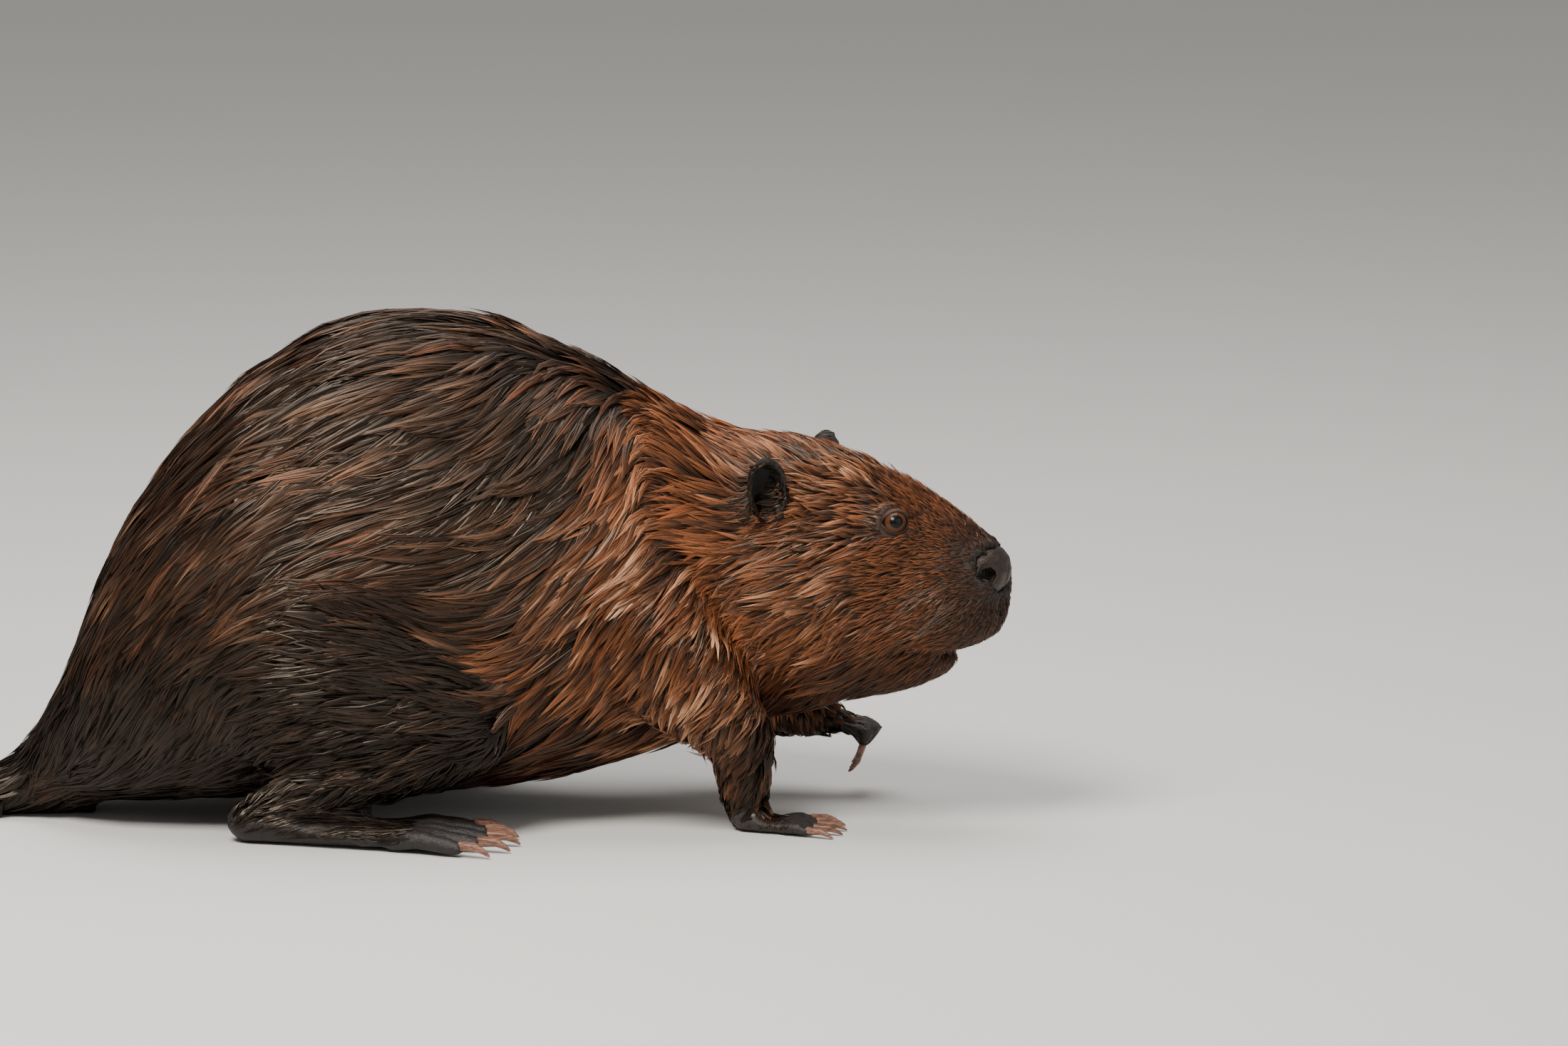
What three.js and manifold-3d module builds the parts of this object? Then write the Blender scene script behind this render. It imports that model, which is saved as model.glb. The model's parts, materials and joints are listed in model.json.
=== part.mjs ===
// A North American beaver, life size, in millimetres: a hunched walk with the left forefoot lifted,
// the head turned a little to its right and the tail laid flat. +X is the way the trunk faces, +Y is
// the animal's left and +Z is up. The origin is on the floor under the middle of the whole animal.
// Every surface is the outside of the coat, so the flesh lies a coat's depth inside it.

import * as THREE from "three";
import { mergeVertices } from "three/addons/utils/BufferGeometryUtils.js";
import Module from "manifold-3d";

const wasm = await Module();
wasm.setup();

// ---------------------------------------------------------------- sizes

const GAP = 0.35; // clearance between pieces that touch
const FAR = 1200; // half the size of a cutting block, larger than the animal
const RIGHT = -1; // sign of Y on the animal's right
const LEFT = 1;

const HEAD_TURN = -20; // degrees about +Z, to the right
const HEAD_AT = [301.5, -21.5, 0]; // floor point under the middle of the ears
const TRUNK_FRONT = { x: 214, y: 0, turn: -3 }; // where the trunk ends and the neck begins
const NECK_FRONT = { along: -25 }; // where the neck ends, measured along the head from the ears

// Cross-sections from the tail root to the chest. Each is a rounded form as wide as twice `half` at the
// height `mid`; `crown` and `keel` are the powers of its upper and lower arcs, 2 for an ellipse.
const SECTION = ["x", "y", "turn", "top", "mid", "base", "half", "crown", "keel"];
const TRUNK_SECTIONS = [
  // x, y, turn, top, mid, base, half, crown, keel
  [-178, 0, 0, 38, 28, 14, 18, 2.0, 2.0],
  [-166, 0, 0, 53, 34, 12, 40, 2.0, 2.1],
  [-149, 0, 0, 86, 48, 11, 60, 2.0, 2.2],
  [-134, 0, 0, 127, 64, 10, 77, 2.0, 2.3],
  [-111, 0, 0, 181, 84, 9, 93, 2.0, 2.3],
  [-80, 0, 0, 226, 98, 9, 104, 2.0, 2.3],
  [-40, 0, 0, 270, 112, 10, 112, 2.0, 2.3],
  [10, 0, 0, 303, 122, 12, 116, 2.0, 2.3],
  [62, 0, 0, 314, 126, 14, 116, 2.0, 2.3],
  [118, 0, 0, 308, 128, 17, 108, 2.0, 2.3],
  [165, 0, 0, 289, 130, 24, 98, 2.0, 2.3],
  [208, 0, -3, 263, 136, 36, 87, 2.0, 2.3],
  [246, -5, -10, 243, 142, 48, 76, 2.1, 2.3],
];
// Cross-sections of the head, measured along its own axis from the line between the ears.
const HEAD_SECTIONS = [
  // along, top, mid, base, half, crown, keel
  [-24, 239, 146, 58, 66, 2.0, 2.2],
  [8, 236, 144, 66, 62, 2.0, 2.2],
  [36, 228, 142, 76, 59, 2.0, 2.2],
  [60, 219, 142, 90, 53, 1.95, 2.3],
  [82, 208, 142, 103, 45, 1.9, 2.5],
  [102, 195, 142, 110, 38, 1.9, 2.7],
  [115, 185, 142, 114, 32, 1.9, 2.8],
  [124, 177, 143, 119, 26, 2.0, 2.6],
  [129, 170, 146, 127, 18, 2.1, 2.3],
];
const BODY_SIDES = 24;
const TRUNK_STEP = 34; // spacing of the rings, measured over the surface
const HEAD_STEP = 11;

// Soft swellings of the body's surface: a centre, a reach and a rise, the same on both sides.
const TRUNK_SWELLS = [
  { name: "shoulder blade", at: [182, 84, 200], reach: 34, rise: 7 },
  { name: "hip", at: [-70, 92, 190], reach: 46, rise: 6 },
];
const HEAD_SWELLS = [
  { name: "cheek", at: [38, 56, 128], reach: 22, rise: 6 },
  { name: "brow", at: [66, 33, 204], reach: 9, rise: 3.5 },
  { name: "eye hollow", at: [84, 36, 184], reach: 11, rise: -3 },
  { name: "whisker pad", at: [106, 34, 138], reach: 13, rise: 4.5 },
];

// The lower jaw, along the head's axis.
const JAW_SECTIONS = [
  // along, top, mid, base, half, crown, keel
  [34, 112, 98, 75, 40, 2.2, 2.2],
  [56, 113, 100, 79, 34, 2.2, 2.2],
  [76, 114, 101, 85, 26, 2.2, 2.3],
  [92, 114, 104, 93, 19, 2.2, 2.3],
  [99, 112, 106, 99, 11, 2.0, 2.0],
];
const JAW_SIDES = 16;

const EYE = { along: 71.5, out: 33, up: 191.5, radius: 7.5 };
const EAR = { along: -1, out: 57, up: 211, width: 27, height: 42, depth: 18, wall: 3 };
const EAR_FACES = { forward: 32, up: 4 }; // degrees that the ear's opening turns from straight out
const NOSE = { along: 119.5, up: 160, length: 14, width: 23, height: 16 }; // half sizes
const NOSTRIL = { along: 126, out: 17, up: 159, radius: 4.4, long: 7 };

// Limb stations: centre x, y, z, then the radius in the limb's own plane and the radius across it.
// The Y of each is for the animal's left.
const HAUNCH = [
  [-64, 76, 132, 54, 34],
  [-18, 88, 118, 76, 40],
  [34, 94, 98, 70, 41],
  [80, 98, 75, 46, 32],
  [104, 98, 61, 26, 21],
];
const SHANK = [
  [84, 99, 54, 26, 20],
  [22, 102, 35, 20, 17],
  [-28, 103, 22, 15, 14],
];
const PLANTED_ARM = [
  [190, 66, 170, 42, 24],
  [204, 80, 124, 47, 29],
  [238, 80, 88, 37, 27],
  [267, 73, 55, 25, 22],
  [267, 67, 24, 19, 18],
];
const LIFTED_ARM = [
  [196, 62, 168, 42, 24],
  [220, 74, 116, 44, 28],
  [254, 70, 70, 32, 25],
  [290, 61, 53, 24, 20],
  [316, 54, 49, 17, 16],
];
const LEG_SIDES = 10;
const SOLE_SIDES = 8;

// Feet point along +X of their own frames, the sole at height 0, from the wrist or heel.
const HIND_FOOT = {
  sole: 100,
  heelHalf: 14,
  ballHalf: 27,
  heelHeight: 30,
  toeLength: 54,
  toeRadius: 7,
  spread: 17,
  curl: 0,
  clawLength: 17,
  clawRadius: 3.6,
  web: 3,
};
const FORE_FOOT = {
  sole: 30,
  heelHalf: 13,
  ballHalf: 17,
  heelHeight: 22,
  toeLength: 20,
  toeRadius: 4.6,
  spread: 24,
  curl: 0,
  clawLength: 15,
  clawRadius: 2.6,
  web: 0,
};
const LIFTED_FOOT = { ...FORE_FOOT, toeLength: 15, spread: 6, curl: 104 };
const SOLE_SINK = 0.7; // how far a foot's round underside is pared to flats on the floor
const TOES = 5;
const TOE_SIDES = 6;
const CLAW_SIDES = 5;
const HIND_HEEL = { x: -40, y: 102, turn: 6 };
const PLANTED_WRIST = { x: 263, y: 67, turn: 4 };
const LIFTED_WRIST = { x: 312, y: 55, z: 39, turn: -4, pitch: 3 };

// The tail: a furred root, then a flat scaly paddle. Along the tail from its root, half width, height.
const TAIL_ROOT = { x: -128, turn: 184, length: 66 };
const ROOT_STATIONS = [
  [0, 44, 62],
  [36, 39, 44],
  [66, 31, 28],
];
const PADDLE_STATIONS = [
  [66, 28, 25],
  [92, 35, 22],
  [130, 50, 19.5],
  [180, 59, 18],
  [232, 59, 16],
  [268, 49, 13],
  [290, 32, 10],
  [299, 14, 7],
];
const TAIL_SIDES = 14;
const TAIL_SINK = 0.7; // how far the tail's round underside is pared to a flat on the floor

// ---------------------------------------------------------------- finishes

function finish(color, roughness) {
  return new THREE.MeshStandardMaterial({ color, roughness, metalness: 0 });
}

const FINISHES = {
  coat: finish(0x4a3427, 0.55),
  faceCoat: finish(0x6b472f, 0.6),
  earCoat: finish(0x241a15, 0.75),
  scales: finish(0x2f2b29, 0.6),
  soles: finish(0x2b2422, 0.55),
  claws: finish(0x6a5248, 0.4),
  noseLeather: finish(0x1e1917, 0.5),
  eye: finish(0x1c0f0a, 0.1),
};

// ---------------------------------------------------------------- solids

/** A closed solid from points and outward triangles. */
function solid(points, triangles) {
  const vertProperties = new Float32Array(points.flatMap((p) => [p.x, p.y, p.z]));
  const triVerts = new Uint32Array(triangles);
  return new wasm.Manifold(new wasm.Mesh({ numProp: 3, vertProperties, triVerts }));
}

/** A closed solid from a three.js geometry. */
function solidOf(geometry) {
  const bare = geometry.clone();
  bare.deleteAttribute("normal");
  bare.deleteAttribute("uv");
  const merged = mergeVertices(bare, 1e-3);
  const place = merged.getAttribute("position");
  const points = Array.from({ length: place.count }, (_, i) =>
    new THREE.Vector3().fromBufferAttribute(place, i),
  );
  return solid(points, merged.index.array);
}

/** The solid moved by a THREE.Matrix4. */
function moved(body, matrix) {
  return body.transform(matrix.elements);
}

/** The largest of a solid's separate bodies. */
function largest(body) {
  const bodies = body.decompose();
  return bodies.reduce((a, b) => (a.volume() > b.volume() ? a : b));
}

/** A skin over rings of points, closed at each end by a fan to one point. */
function loft(rings, first, last) {
  const sides = rings[0].length;
  const points = [first, ...rings.flat(), last];
  const end = rings.length - 1;
  const at = (ring, side) => 1 + ring * sides + (side % sides);
  const triangles = [];
  for (let j = 0; j < sides; j++) {
    triangles.push(0, at(0, j + 1), at(0, j));
    for (let i = 0; i < end; i++) {
      triangles.push(at(i, j), at(i, j + 1), at(i + 1, j + 1));
      triangles.push(at(i, j), at(i + 1, j + 1), at(i + 1, j));
    }
    triangles.push(points.length - 1, at(end, j), at(end, j + 1));
  }
  return solid(points, triangles);
}

/** The mean of some points. */
function middle(points) {
  const sum = points.reduce((total, p) => total.add(p), new THREE.Vector3());
  return sum.divideScalar(points.length);
}

/** Rows of numbers, eased through by a cubic whose parameter is the sum of each row's largest changes. */
function eased(rows, columns) {
  const lengths = [0];
  for (let i = 1; i < rows.length; i++) {
    const change = columns.map((c) => Math.abs(rows[i][c] - rows[i - 1][c]));
    lengths.push(lengths[i - 1] + Math.max(...change));
  }
  const curve = new THREE.CubicInterpolant(lengths, rows.flat(), rows[0].length);
  return { lengths, at: (length) => Array.from(curve.evaluate(length)) };
}

/** Rows spaced about `step(row)` apart along eased rows. */
function spaced(rows, columns, step) {
  const { lengths, at } = eased(rows, columns);
  const found = [];
  for (let i = 1; i < rows.length; i++) {
    const span = lengths[i] - lengths[i - 1];
    const count = Math.max(1, Math.round(span / step(rows[i])));
    for (let k = 0; k < count; k++) found.push(at(lengths[i - 1] + (span * k) / count));
  }
  found.push([...rows.at(-1)]);
  return found;
}

// ---------------------------------------------------------------- frames

const degrees = THREE.MathUtils.degToRad;

/** A frame at a place, turned about +Z and then pitched nose-down, in degrees. */
function frame(x, y, z, turn = 0, pitch = 0) {
  const turned = new THREE.Quaternion().setFromEuler(
    new THREE.Euler(0, degrees(pitch), degrees(turn), "ZYX"),
  );
  return new THREE.Matrix4().compose(new THREE.Vector3(x, y, z), turned, new THREE.Vector3(1, 1, 1));
}

const HEAD_FRAME = frame(...HEAD_AT, HEAD_TURN);

/** A point given along, out to the left of and above the head's axis. */
function onHead(along, out, up) {
  return new THREE.Vector3(along, out, up).applyMatrix4(HEAD_FRAME);
}

/** Everything ahead of an upright plane, less half the gap. */
function ahead({ x, y, turn }) {
  const block = solidOf(new THREE.BoxGeometry(FAR, 2 * FAR, 2 * FAR));
  const put = frame(x, y, 0, turn).multiply(frame((FAR + GAP) / 2, 0, 0));
  return moved(block, put);
}

/** Everything behind an upright plane, less half the gap. */
function behind({ x, y, turn }) {
  return ahead({ x, y, turn: turn + 180 });
}

/** Everything above the floor. */
function aboveFloor() {
  const block = solidOf(new THREE.BoxGeometry(2 * FAR, 2 * FAR, FAR));
  return moved(block, frame(0, 0, FAR / 2));
}

// ---------------------------------------------------------------- head, neck and trunk

/** A head section as a body section. */
function headSection([along, top, mid, base, half, crown, keel]) {
  const place = onHead(along, 0, 0);
  return [place.x, place.y, HEAD_TURN, top, mid, base, half, crown, keel];
}

/** One ring of a body section, seen anticlockwise from ahead, grown by `grow`. */
function sectionRing(values, sides, grow) {
  const s = Object.fromEntries(SECTION.map((name, i) => [name, values[i]]));
  const put = frame(s.x, s.y, s.mid, s.turn);
  return Array.from({ length: sides }, (_, j) => {
    const angle = (2 * Math.PI * j) / sides;
    const [across, up] = [Math.cos(angle), Math.sin(angle)];
    const power = up > 0 ? s.crown : s.keel;
    const rise = up > 0 ? s.top - s.mid : s.mid - s.base;
    const reach =
      (Math.abs(across / s.half) ** power + Math.abs(up / rise) ** power) ** (-1 / power);
    const out = reach + grow;
    return new THREE.Vector3(0, out * across, out * up).applyMatrix4(put);
  });
}

/** A list of swellings with their centres in the part's frame, on both sides. */
function swellings(list, put) {
  return list.flatMap(({ at: [along, out, up], reach, rise }) =>
    [RIGHT, LEFT].map((side) => ({
      centre: new THREE.Vector3(along, side * out, up).applyMatrix4(put),
      reach,
      rise,
    })),
  );
}

/** Moves a ring's points out from its middle by the swellings near them. */
function swell(ring, swells) {
  const centre = middle(ring);
  return ring.map((p) => {
    const rise = swells.reduce(
      (sum, s) => sum + s.rise * Math.exp(-0.5 * (p.distanceTo(s.centre) / s.reach) ** 2),
      0,
    );
    return p.clone().addScaledVector(p.clone().sub(centre).normalize(), rise);
  });
}

/** The body from the tail root to the nose in one piece. */
function wholeBody() {
  const rows = [...TRUNK_SECTIONS, ...HEAD_SECTIONS.map(headSection)];
  const [xColumn, topColumn, halfColumn] = ["x", "top", "half"].map((n) => SECTION.indexOf(n));
  const neckX = onHead(NECK_FRONT.along, 0, 0).x;
  const step = (row) => (row[xColumn] > neckX ? HEAD_STEP : TRUNK_STEP);
  const swells = [
    ...swellings(TRUNK_SWELLS, frame(0, 0, 0)),
    ...swellings(HEAD_SWELLS, HEAD_FRAME),
  ];
  const rings = spaced(rows, [xColumn, topColumn, halfColumn], step).map((values) =>
    swell(sectionRing(values, BODY_SIDES, 0), swells),
  );
  return loft(rings, middle(rings[0]), middle(rings.at(-1)));
}

/** The lower jaw, before the head is cut from it. */
function wholeJaw(grow = 0) {
  const rows = JAW_SECTIONS.map(headSection);
  const rings = spaced(rows, [0], () => HEAD_STEP).map((values) =>
    sectionRing(values, JAW_SIDES, grow),
  );
  return loft(rings, middle(rings[0]), middle(rings.at(-1)));
}

/** A ball squashed to three half sizes, at a place in the head's frame. */
function headBall(along, out, up, sizes, grow = 0, detail = 12) {
  const ball = new THREE.SphereGeometry(1, detail, Math.round(detail * 0.7));
  ball.scale(...sizes.map((size) => size + grow));
  ball.translate(along, out, up);
  return moved(solidOf(ball), HEAD_FRAME);
}

function eyeBall(side, grow = 0) {
  const sizes = [EYE.radius, EYE.radius, EYE.radius];
  return headBall(EYE.along, side * EYE.out, EYE.up, sizes, grow, 10);
}

/** The nose pad with its two nostrils sunk into it. */
function nosePad() {
  const sizes = [NOSE.length, NOSE.width, NOSE.height];
  const pad = headBall(NOSE.along, 0, NOSE.up, sizes);
  return [RIGHT, LEFT].reduce((made, side) => {
    const hole = [NOSTRIL.long, NOSTRIL.radius, NOSTRIL.radius];
    return made.subtract(headBall(NOSTRIL.along, side * NOSTRIL.out, NOSTRIL.up, hole, 0, 8));
  }, pad);
}

function nosePocket() {
  const sizes = [NOSE.length, NOSE.width, NOSE.height];
  return headBall(NOSE.along, 0, NOSE.up, sizes, GAP);
}

/** An ear: a shallow bowl whose opening faces out and forward. */
function ear(side) {
  const outer = (angle) => [Math.sin(angle), -Math.cos(angle)];
  const inside = 1 - EAR.wall / (EAR.width / 2);
  const floor = 1 - EAR.wall / EAR.depth;
  const turns = [0, 30, 60, 90].map(degrees);
  const profile = [
    ...turns.map((a) => new THREE.Vector2(...outer(a))),
    ...turns.toReversed().map((a) => {
      const [radius, height] = outer(a);
      return new THREE.Vector2(radius * inside, height * floor);
    }),
  ];
  profile[0].x = 0;
  profile.at(-1).x = 0;
  const bowl = new THREE.LatheGeometry(profile, 14);
  bowl.scale(EAR.width / 2, EAR.depth, EAR.height / 2);
  if (side === RIGHT) bowl.rotateZ(Math.PI);
  bowl.rotateX(side * degrees(EAR_FACES.up));
  bowl.rotateZ(-side * degrees(EAR_FACES.forward));
  bowl.translate(EAR.along, side * EAR.out, EAR.up);
  return moved(solidOf(bowl), HEAD_FRAME);
}

// ---------------------------------------------------------------- limbs and tail

/** A tapered round limb through stations, with ends domed by some rings or blunt with none. */
function limb(stations, { sides, step, domes = 2, grow = 0 }) {
  const rows = spaced(stations, [0, 1, 2], () => step);
  const centres = rows.map(([x, y, z]) => new THREE.Vector3(x, y, z));
  const ways = centres.map((_, i) => {
    const [a, b] = [Math.max(0, i - 1), Math.min(centres.length - 1, i + 1)];
    return centres[b].clone().sub(centres[a]).normalize();
  });
  const ring = (i, shift, share) => {
    const across = new THREE.Vector3(0, 1, 0).addScaledVector(ways[i], -ways[i].y).normalize();
    const deep = ways[i].clone().cross(across);
    const [inPlane, wide] = [rows[i][3] + grow, rows[i][4] + grow];
    const centre = centres[i].clone().addScaledVector(ways[i], shift * wide);
    return Array.from({ length: sides }, (_, j) => {
      const angle = (2 * Math.PI * j) / sides;
      return centre
        .clone()
        .addScaledVector(across, share * wide * Math.cos(angle))
        .addScaledVector(deep, share * inPlane * Math.sin(angle));
    });
  };
  const last = rows.length - 1;
  const dome = Array.from({ length: domes }, (_, i) => degrees((90 * (i + 1)) / (domes + 1)));
  const rings = [
    ...dome.toReversed().map((a) => ring(0, -Math.sin(a), Math.cos(a))),
    ...rows.map((_, i) => ring(i, 0, 1)),
    ...dome.map((a) => ring(last, Math.sin(a), Math.cos(a))),
  ];
  const tip = (i, sign) => {
    const bulge = domes ? rows[i][4] + grow : 0;
    return centres[i].clone().addScaledVector(ways[i], sign * bulge);
  };
  return loft(rings, tip(0, -1), tip(last, 1));
}

/** Limb stations on one side of the animal. */
function onSide(stations, side) {
  return stations.map(([x, y, ...rest]) => [x, side * y, ...rest]);
}

function hindLeg(side, grow = 0) {
  const sizes = { sides: LEG_SIDES, step: 32, grow };
  return limb(onSide(HAUNCH, side), sizes).add(limb(onSide(SHANK, side), sizes));
}

function foreLeg(side, grow = 0) {
  const stations = side === LEFT ? LIFTED_ARM : PLANTED_ARM;
  return limb(onSide(stations, side), { sides: LEG_SIDES, step: 26, grow });
}

/** Where a toe starts and which way it points, for toe 0 to TOES - 1 from right to left. */
function toeFrame(foot, toe) {
  const place = (2 * toe) / (TOES - 1) - 1;
  const start = frame(foot.sole, place * foot.ballHalf * 0.85, foot.toeRadius, place * foot.spread);
  return start.multiply(frame(0, 0, 0, 0, foot.curl));
}

/** A toe's length: the middle one is the longest. */
function toeReach(foot, toe) {
  return foot.toeLength * (1 - 0.05 * (toe - (TOES - 1) / 2) ** 2);
}

function toe(foot, number, grow) {
  const r = foot.toeRadius;
  const length = toeReach(foot, number);
  const stations = [
    [-0.6 * r, 0, 0, r, r],
    [0.35 * length, 0, 0.35 * r, 0.95 * r, r],
    [0.75 * length, 0, 0, 0.85 * r, 0.95 * r],
    [length, 0, -0.18 * r, 0.68 * r, 0.75 * r],
  ];
  const toeShape = limb(stations, { sides: TOE_SIDES, step: length, domes: 0, grow });
  return moved(toeShape, toeFrame(foot, number));
}

/** A claw, curved down from the end of its toe to a point just above the sole. */
function claw(foot, number) {
  const r = foot.clawRadius;
  const start = toeReach(foot, number) + 3 * GAP;
  const stations = [
    [start, 0, 0, r, r * 0.9],
    [start + 0.45 * foot.clawLength, 0, 0.05 * foot.toeRadius, 0.85 * r, 0.75 * r],
    [start + 0.8 * foot.clawLength, 0, -0.3 * foot.toeRadius, 0.55 * r, 0.5 * r],
    [start + foot.clawLength, 0, -0.66 * foot.toeRadius, 0.22 * r, 0.2 * r],
  ];
  const horn = limb(stations, { sides: CLAW_SIDES, step: foot.clawLength, domes: 0 });
  return moved(horn, toeFrame(foot, number));
}

/** The skin between the toes: a flat fan whose edge dips between one toe and the next. */
function webbing(foot) {
  const tip = (number) =>
    new THREE.Vector3(toeReach(foot, number) * 0.86, 0, 0).applyMatrix4(toeFrame(foot, number));
  const fan = new THREE.Shape();
  fan.moveTo(foot.sole * 0.75, -foot.ballHalf * 0.8);
  for (let number = 0; number < TOES; number++) {
    const end = tip(number);
    if (number === 0) {
      fan.lineTo(end.x, end.y);
    } else {
      const start = tip(number - 1);
      fan.quadraticCurveTo((start.x + end.x) / 2 - 14, (start.y + end.y) / 2, end.x, end.y);
    }
  }
  fan.lineTo(foot.sole * 0.75, foot.ballHalf * 0.8);
  fan.closePath();
  const plate = new THREE.ExtrudeGeometry(fan, { depth: foot.web, bevelEnabled: false, curveSegments: 4 });
  return moved(solidOf(plate), frame(0, 0, foot.toeRadius * 0.45));
}

/** A foot with its toes, in its own frame. */
function foot(sizes, grow = 0) {
  const r = sizes.toeRadius;
  const heel = sizes.heelHeight / 2;
  const sole = [
    [heel * 0.4, 0, heel * 0.95, heel, sizes.heelHalf],
    [sizes.sole * 0.5, 0, r * 1.25, r * 1.3, (sizes.heelHalf + sizes.ballHalf) / 2],
    [sizes.sole * 0.86, 0, r * 1.1, r * 1.15, sizes.ballHalf],
  ];
  const step = sizes.sole / 3;
  let made = limb(sole, { sides: SOLE_SIDES, step, domes: 1, grow });
  for (let number = 0; number < TOES; number++) made = made.add(toe(sizes, number, grow));
  return sizes.web ? made.add(webbing(sizes)) : made;
}

/** Tail rows as limb stations: the height is a diameter, and the underside rests just below the floor. */
function tailStations(rows) {
  return rows.map(([along, half, height]) => [along, 0, height / 2 - TAIL_SINK, height / 2, half]);
}

/** A stretch of the tail, flat on the floor, running back from the rump. */
function tail(rows, grow = 0) {
  const stretch = limbAlong(tailStations(rows), grow);
  return moved(stretch, frame(TAIL_ROOT.x, 0, 0, TAIL_ROOT.turn));
}

/** A limb along +X with upright sections and blunt ends, for the tail. */
function limbAlong(stations, grow) {
  const rings = spaced(stations, [0, 4], () => 24).map(([x, , z, high, half]) =>
    Array.from({ length: TAIL_SIDES }, (_, j) => {
      const angle = (2 * Math.PI * j) / TAIL_SIDES;
      const [across, up] = [Math.cos(angle), Math.sin(angle)];
      return new THREE.Vector3(x, (half + grow) * across, z + (high + grow) * up);
    }),
  );
  return loft(rings, middle(rings[0]), middle(rings.at(-1)));
}

// ---------------------------------------------------------------- the animal

const floorUp = aboveFloor();
const placeOf = {
  hind: (side) => frame(HIND_HEEL.x, side * HIND_HEEL.y, -SOLE_SINK, side * HIND_HEEL.turn),
  fore: (side) =>
    side === LEFT
      ? frame(LIFTED_WRIST.x, LIFTED_WRIST.y, LIFTED_WRIST.z, LIFTED_WRIST.turn, LIFTED_WRIST.pitch)
      : frame(PLANTED_WRIST.x, side * PLANTED_WRIST.y, -SOLE_SINK, side * PLANTED_WRIST.turn),
};
const sizesOf = {
  hind: () => HIND_FOOT,
  fore: (side) => (side === LEFT ? LIFTED_FOOT : FORE_FOOT),
};
const SIDES = [
  ["right", RIGHT],
  ["left", LEFT],
];

const beaver = new THREE.Group();
beaver.name = "beaver";

/** A named mesh of a solid given in the part's frame, hung on a group. */
function hang(group, name, body, material) {
  const { vertProperties, triVerts, numProp, numVert } = body.getMesh();
  const positions = new Float32Array(numVert * 3);
  for (let i = 0; i < numVert; i++) {
    positions.set(vertProperties.subarray(i * numProp, i * numProp + 3), i * 3);
  }
  const geometry = new THREE.BufferGeometry();
  geometry.setAttribute("position", new THREE.BufferAttribute(positions, 3));
  geometry.setIndex(new THREE.BufferAttribute(new Uint32Array(triVerts), 1));
  group.updateWorldMatrix(true, false);
  geometry.applyMatrix4(group.matrixWorld.clone().invert());
  geometry.computeVertexNormals();
  const mesh = new THREE.Mesh(geometry, material);
  mesh.name = name;
  group.add(mesh);
  return mesh;
}

/** A group at a frame of the part, hung on the beaver. */
function groupAt(matrix) {
  const group = new THREE.Group();
  matrix.decompose(group.position, group.quaternion, group.scale);
  beaver.add(group);
  return group;
}

const neckFront = { ...onHead(NECK_FRONT.along, 0, 0), turn: HEAD_TURN };
const body = wholeBody();
let trunk = body.intersect(behind(TRUNK_FRONT));
let neck = body.intersect(ahead(TRUNK_FRONT)).intersect(behind(neckFront));
let head = body.intersect(ahead(neckFront));
const headPocket = head; // the head before its eyes and nose are set in

// Legs and feet.
for (const [sideName, side] of SIDES) {
  for (const [pair, leg] of [
    ["hind", hindLeg],
    ["fore", foreLeg],
  ]) {
    const sizes = sizesOf[pair](side);
    const put = placeOf[pair](side);
    const wholeFoot = moved(foot(sizes), put).intersect(floorUp);
    const footPocket = moved(foot(sizes, GAP), put);
    const group = groupAt(put);
    for (let number = 0; number < TOES; number++) {
      const horn = moved(claw(sizes, number), put).intersect(floorUp);
      hang(group, `${pair}claw_${sideName}_${number + 1}`, horn, FINISHES.claws);
    }
    hang(group, `${pair}foot_${sideName}`, largest(wholeFoot), FINISHES.soles);
    const wholeLeg = leg(side).subtract(footPocket).intersect(floorUp);
    hang(beaver, `${pair}leg_${sideName}`, largest(wholeLeg), FINISHES.coat);
    const pocket = leg(side, GAP).add(footPocket);
    trunk = trunk.subtract(pocket);
    neck = neck.subtract(pocket);
    head = head.subtract(pocket);
  }
}

// Tail.
const tailFrame = frame(TAIL_ROOT.x, 0, 0, TAIL_ROOT.turn);
const tailGroup = groupAt(tailFrame);
const rootEnd = {
  ...new THREE.Vector3(TAIL_ROOT.length, 0, 0).applyMatrix4(tailFrame),
  turn: TAIL_ROOT.turn,
};
const wholeRoot = tail(ROOT_STATIONS).intersect(floorUp).intersect(behind(rootEnd));
trunk = trunk.subtract(tail(ROOT_STATIONS, GAP));
hang(tailGroup, "tail_root", wholeRoot, FINISHES.coat);
const paddle = tail(PADDLE_STATIONS).intersect(floorUp).intersect(ahead(rootEnd));
hang(tailGroup, "tail_paddle", paddle, FINISHES.scales);

// Head.
const headGroup = groupAt(HEAD_FRAME);
head = head.subtract(nosePocket());
for (const [sideName, side] of SIDES) {
  head = head.subtract(eyeBall(side, GAP));
  hang(headGroup, `eye_${sideName}`, eyeBall(side), FINISHES.eye);
  hang(headGroup, `ear_${sideName}`, largest(ear(side).subtract(headPocket)), FINISHES.earCoat);
}
const jaw = largest(wholeJaw().subtract(headPocket).intersect(ahead(neckFront)));
hang(headGroup, "jaw", jaw, FINISHES.faceCoat);
hang(headGroup, "nose", largest(nosePad()), FINISHES.noseLeather);
hang(headGroup, "head", largest(head), FINISHES.faceCoat);

hang(beaver, "neck", largest(neck), FINISHES.coat);
hang(beaver, "trunk", largest(trunk), FINISHES.coat);

export default beaver;
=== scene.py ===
"""A life-size beaver in mid-step: a skin under a combed coat of locks, with eyes, claws and tail."""

import json
import logging
import math
from dataclasses import dataclass, field
from enum import Enum

import bpy
import numpy as np
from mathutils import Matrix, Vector
from mathutils.bvhtree import BVHTree
from mathutils.kdtree import KDTree

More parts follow.
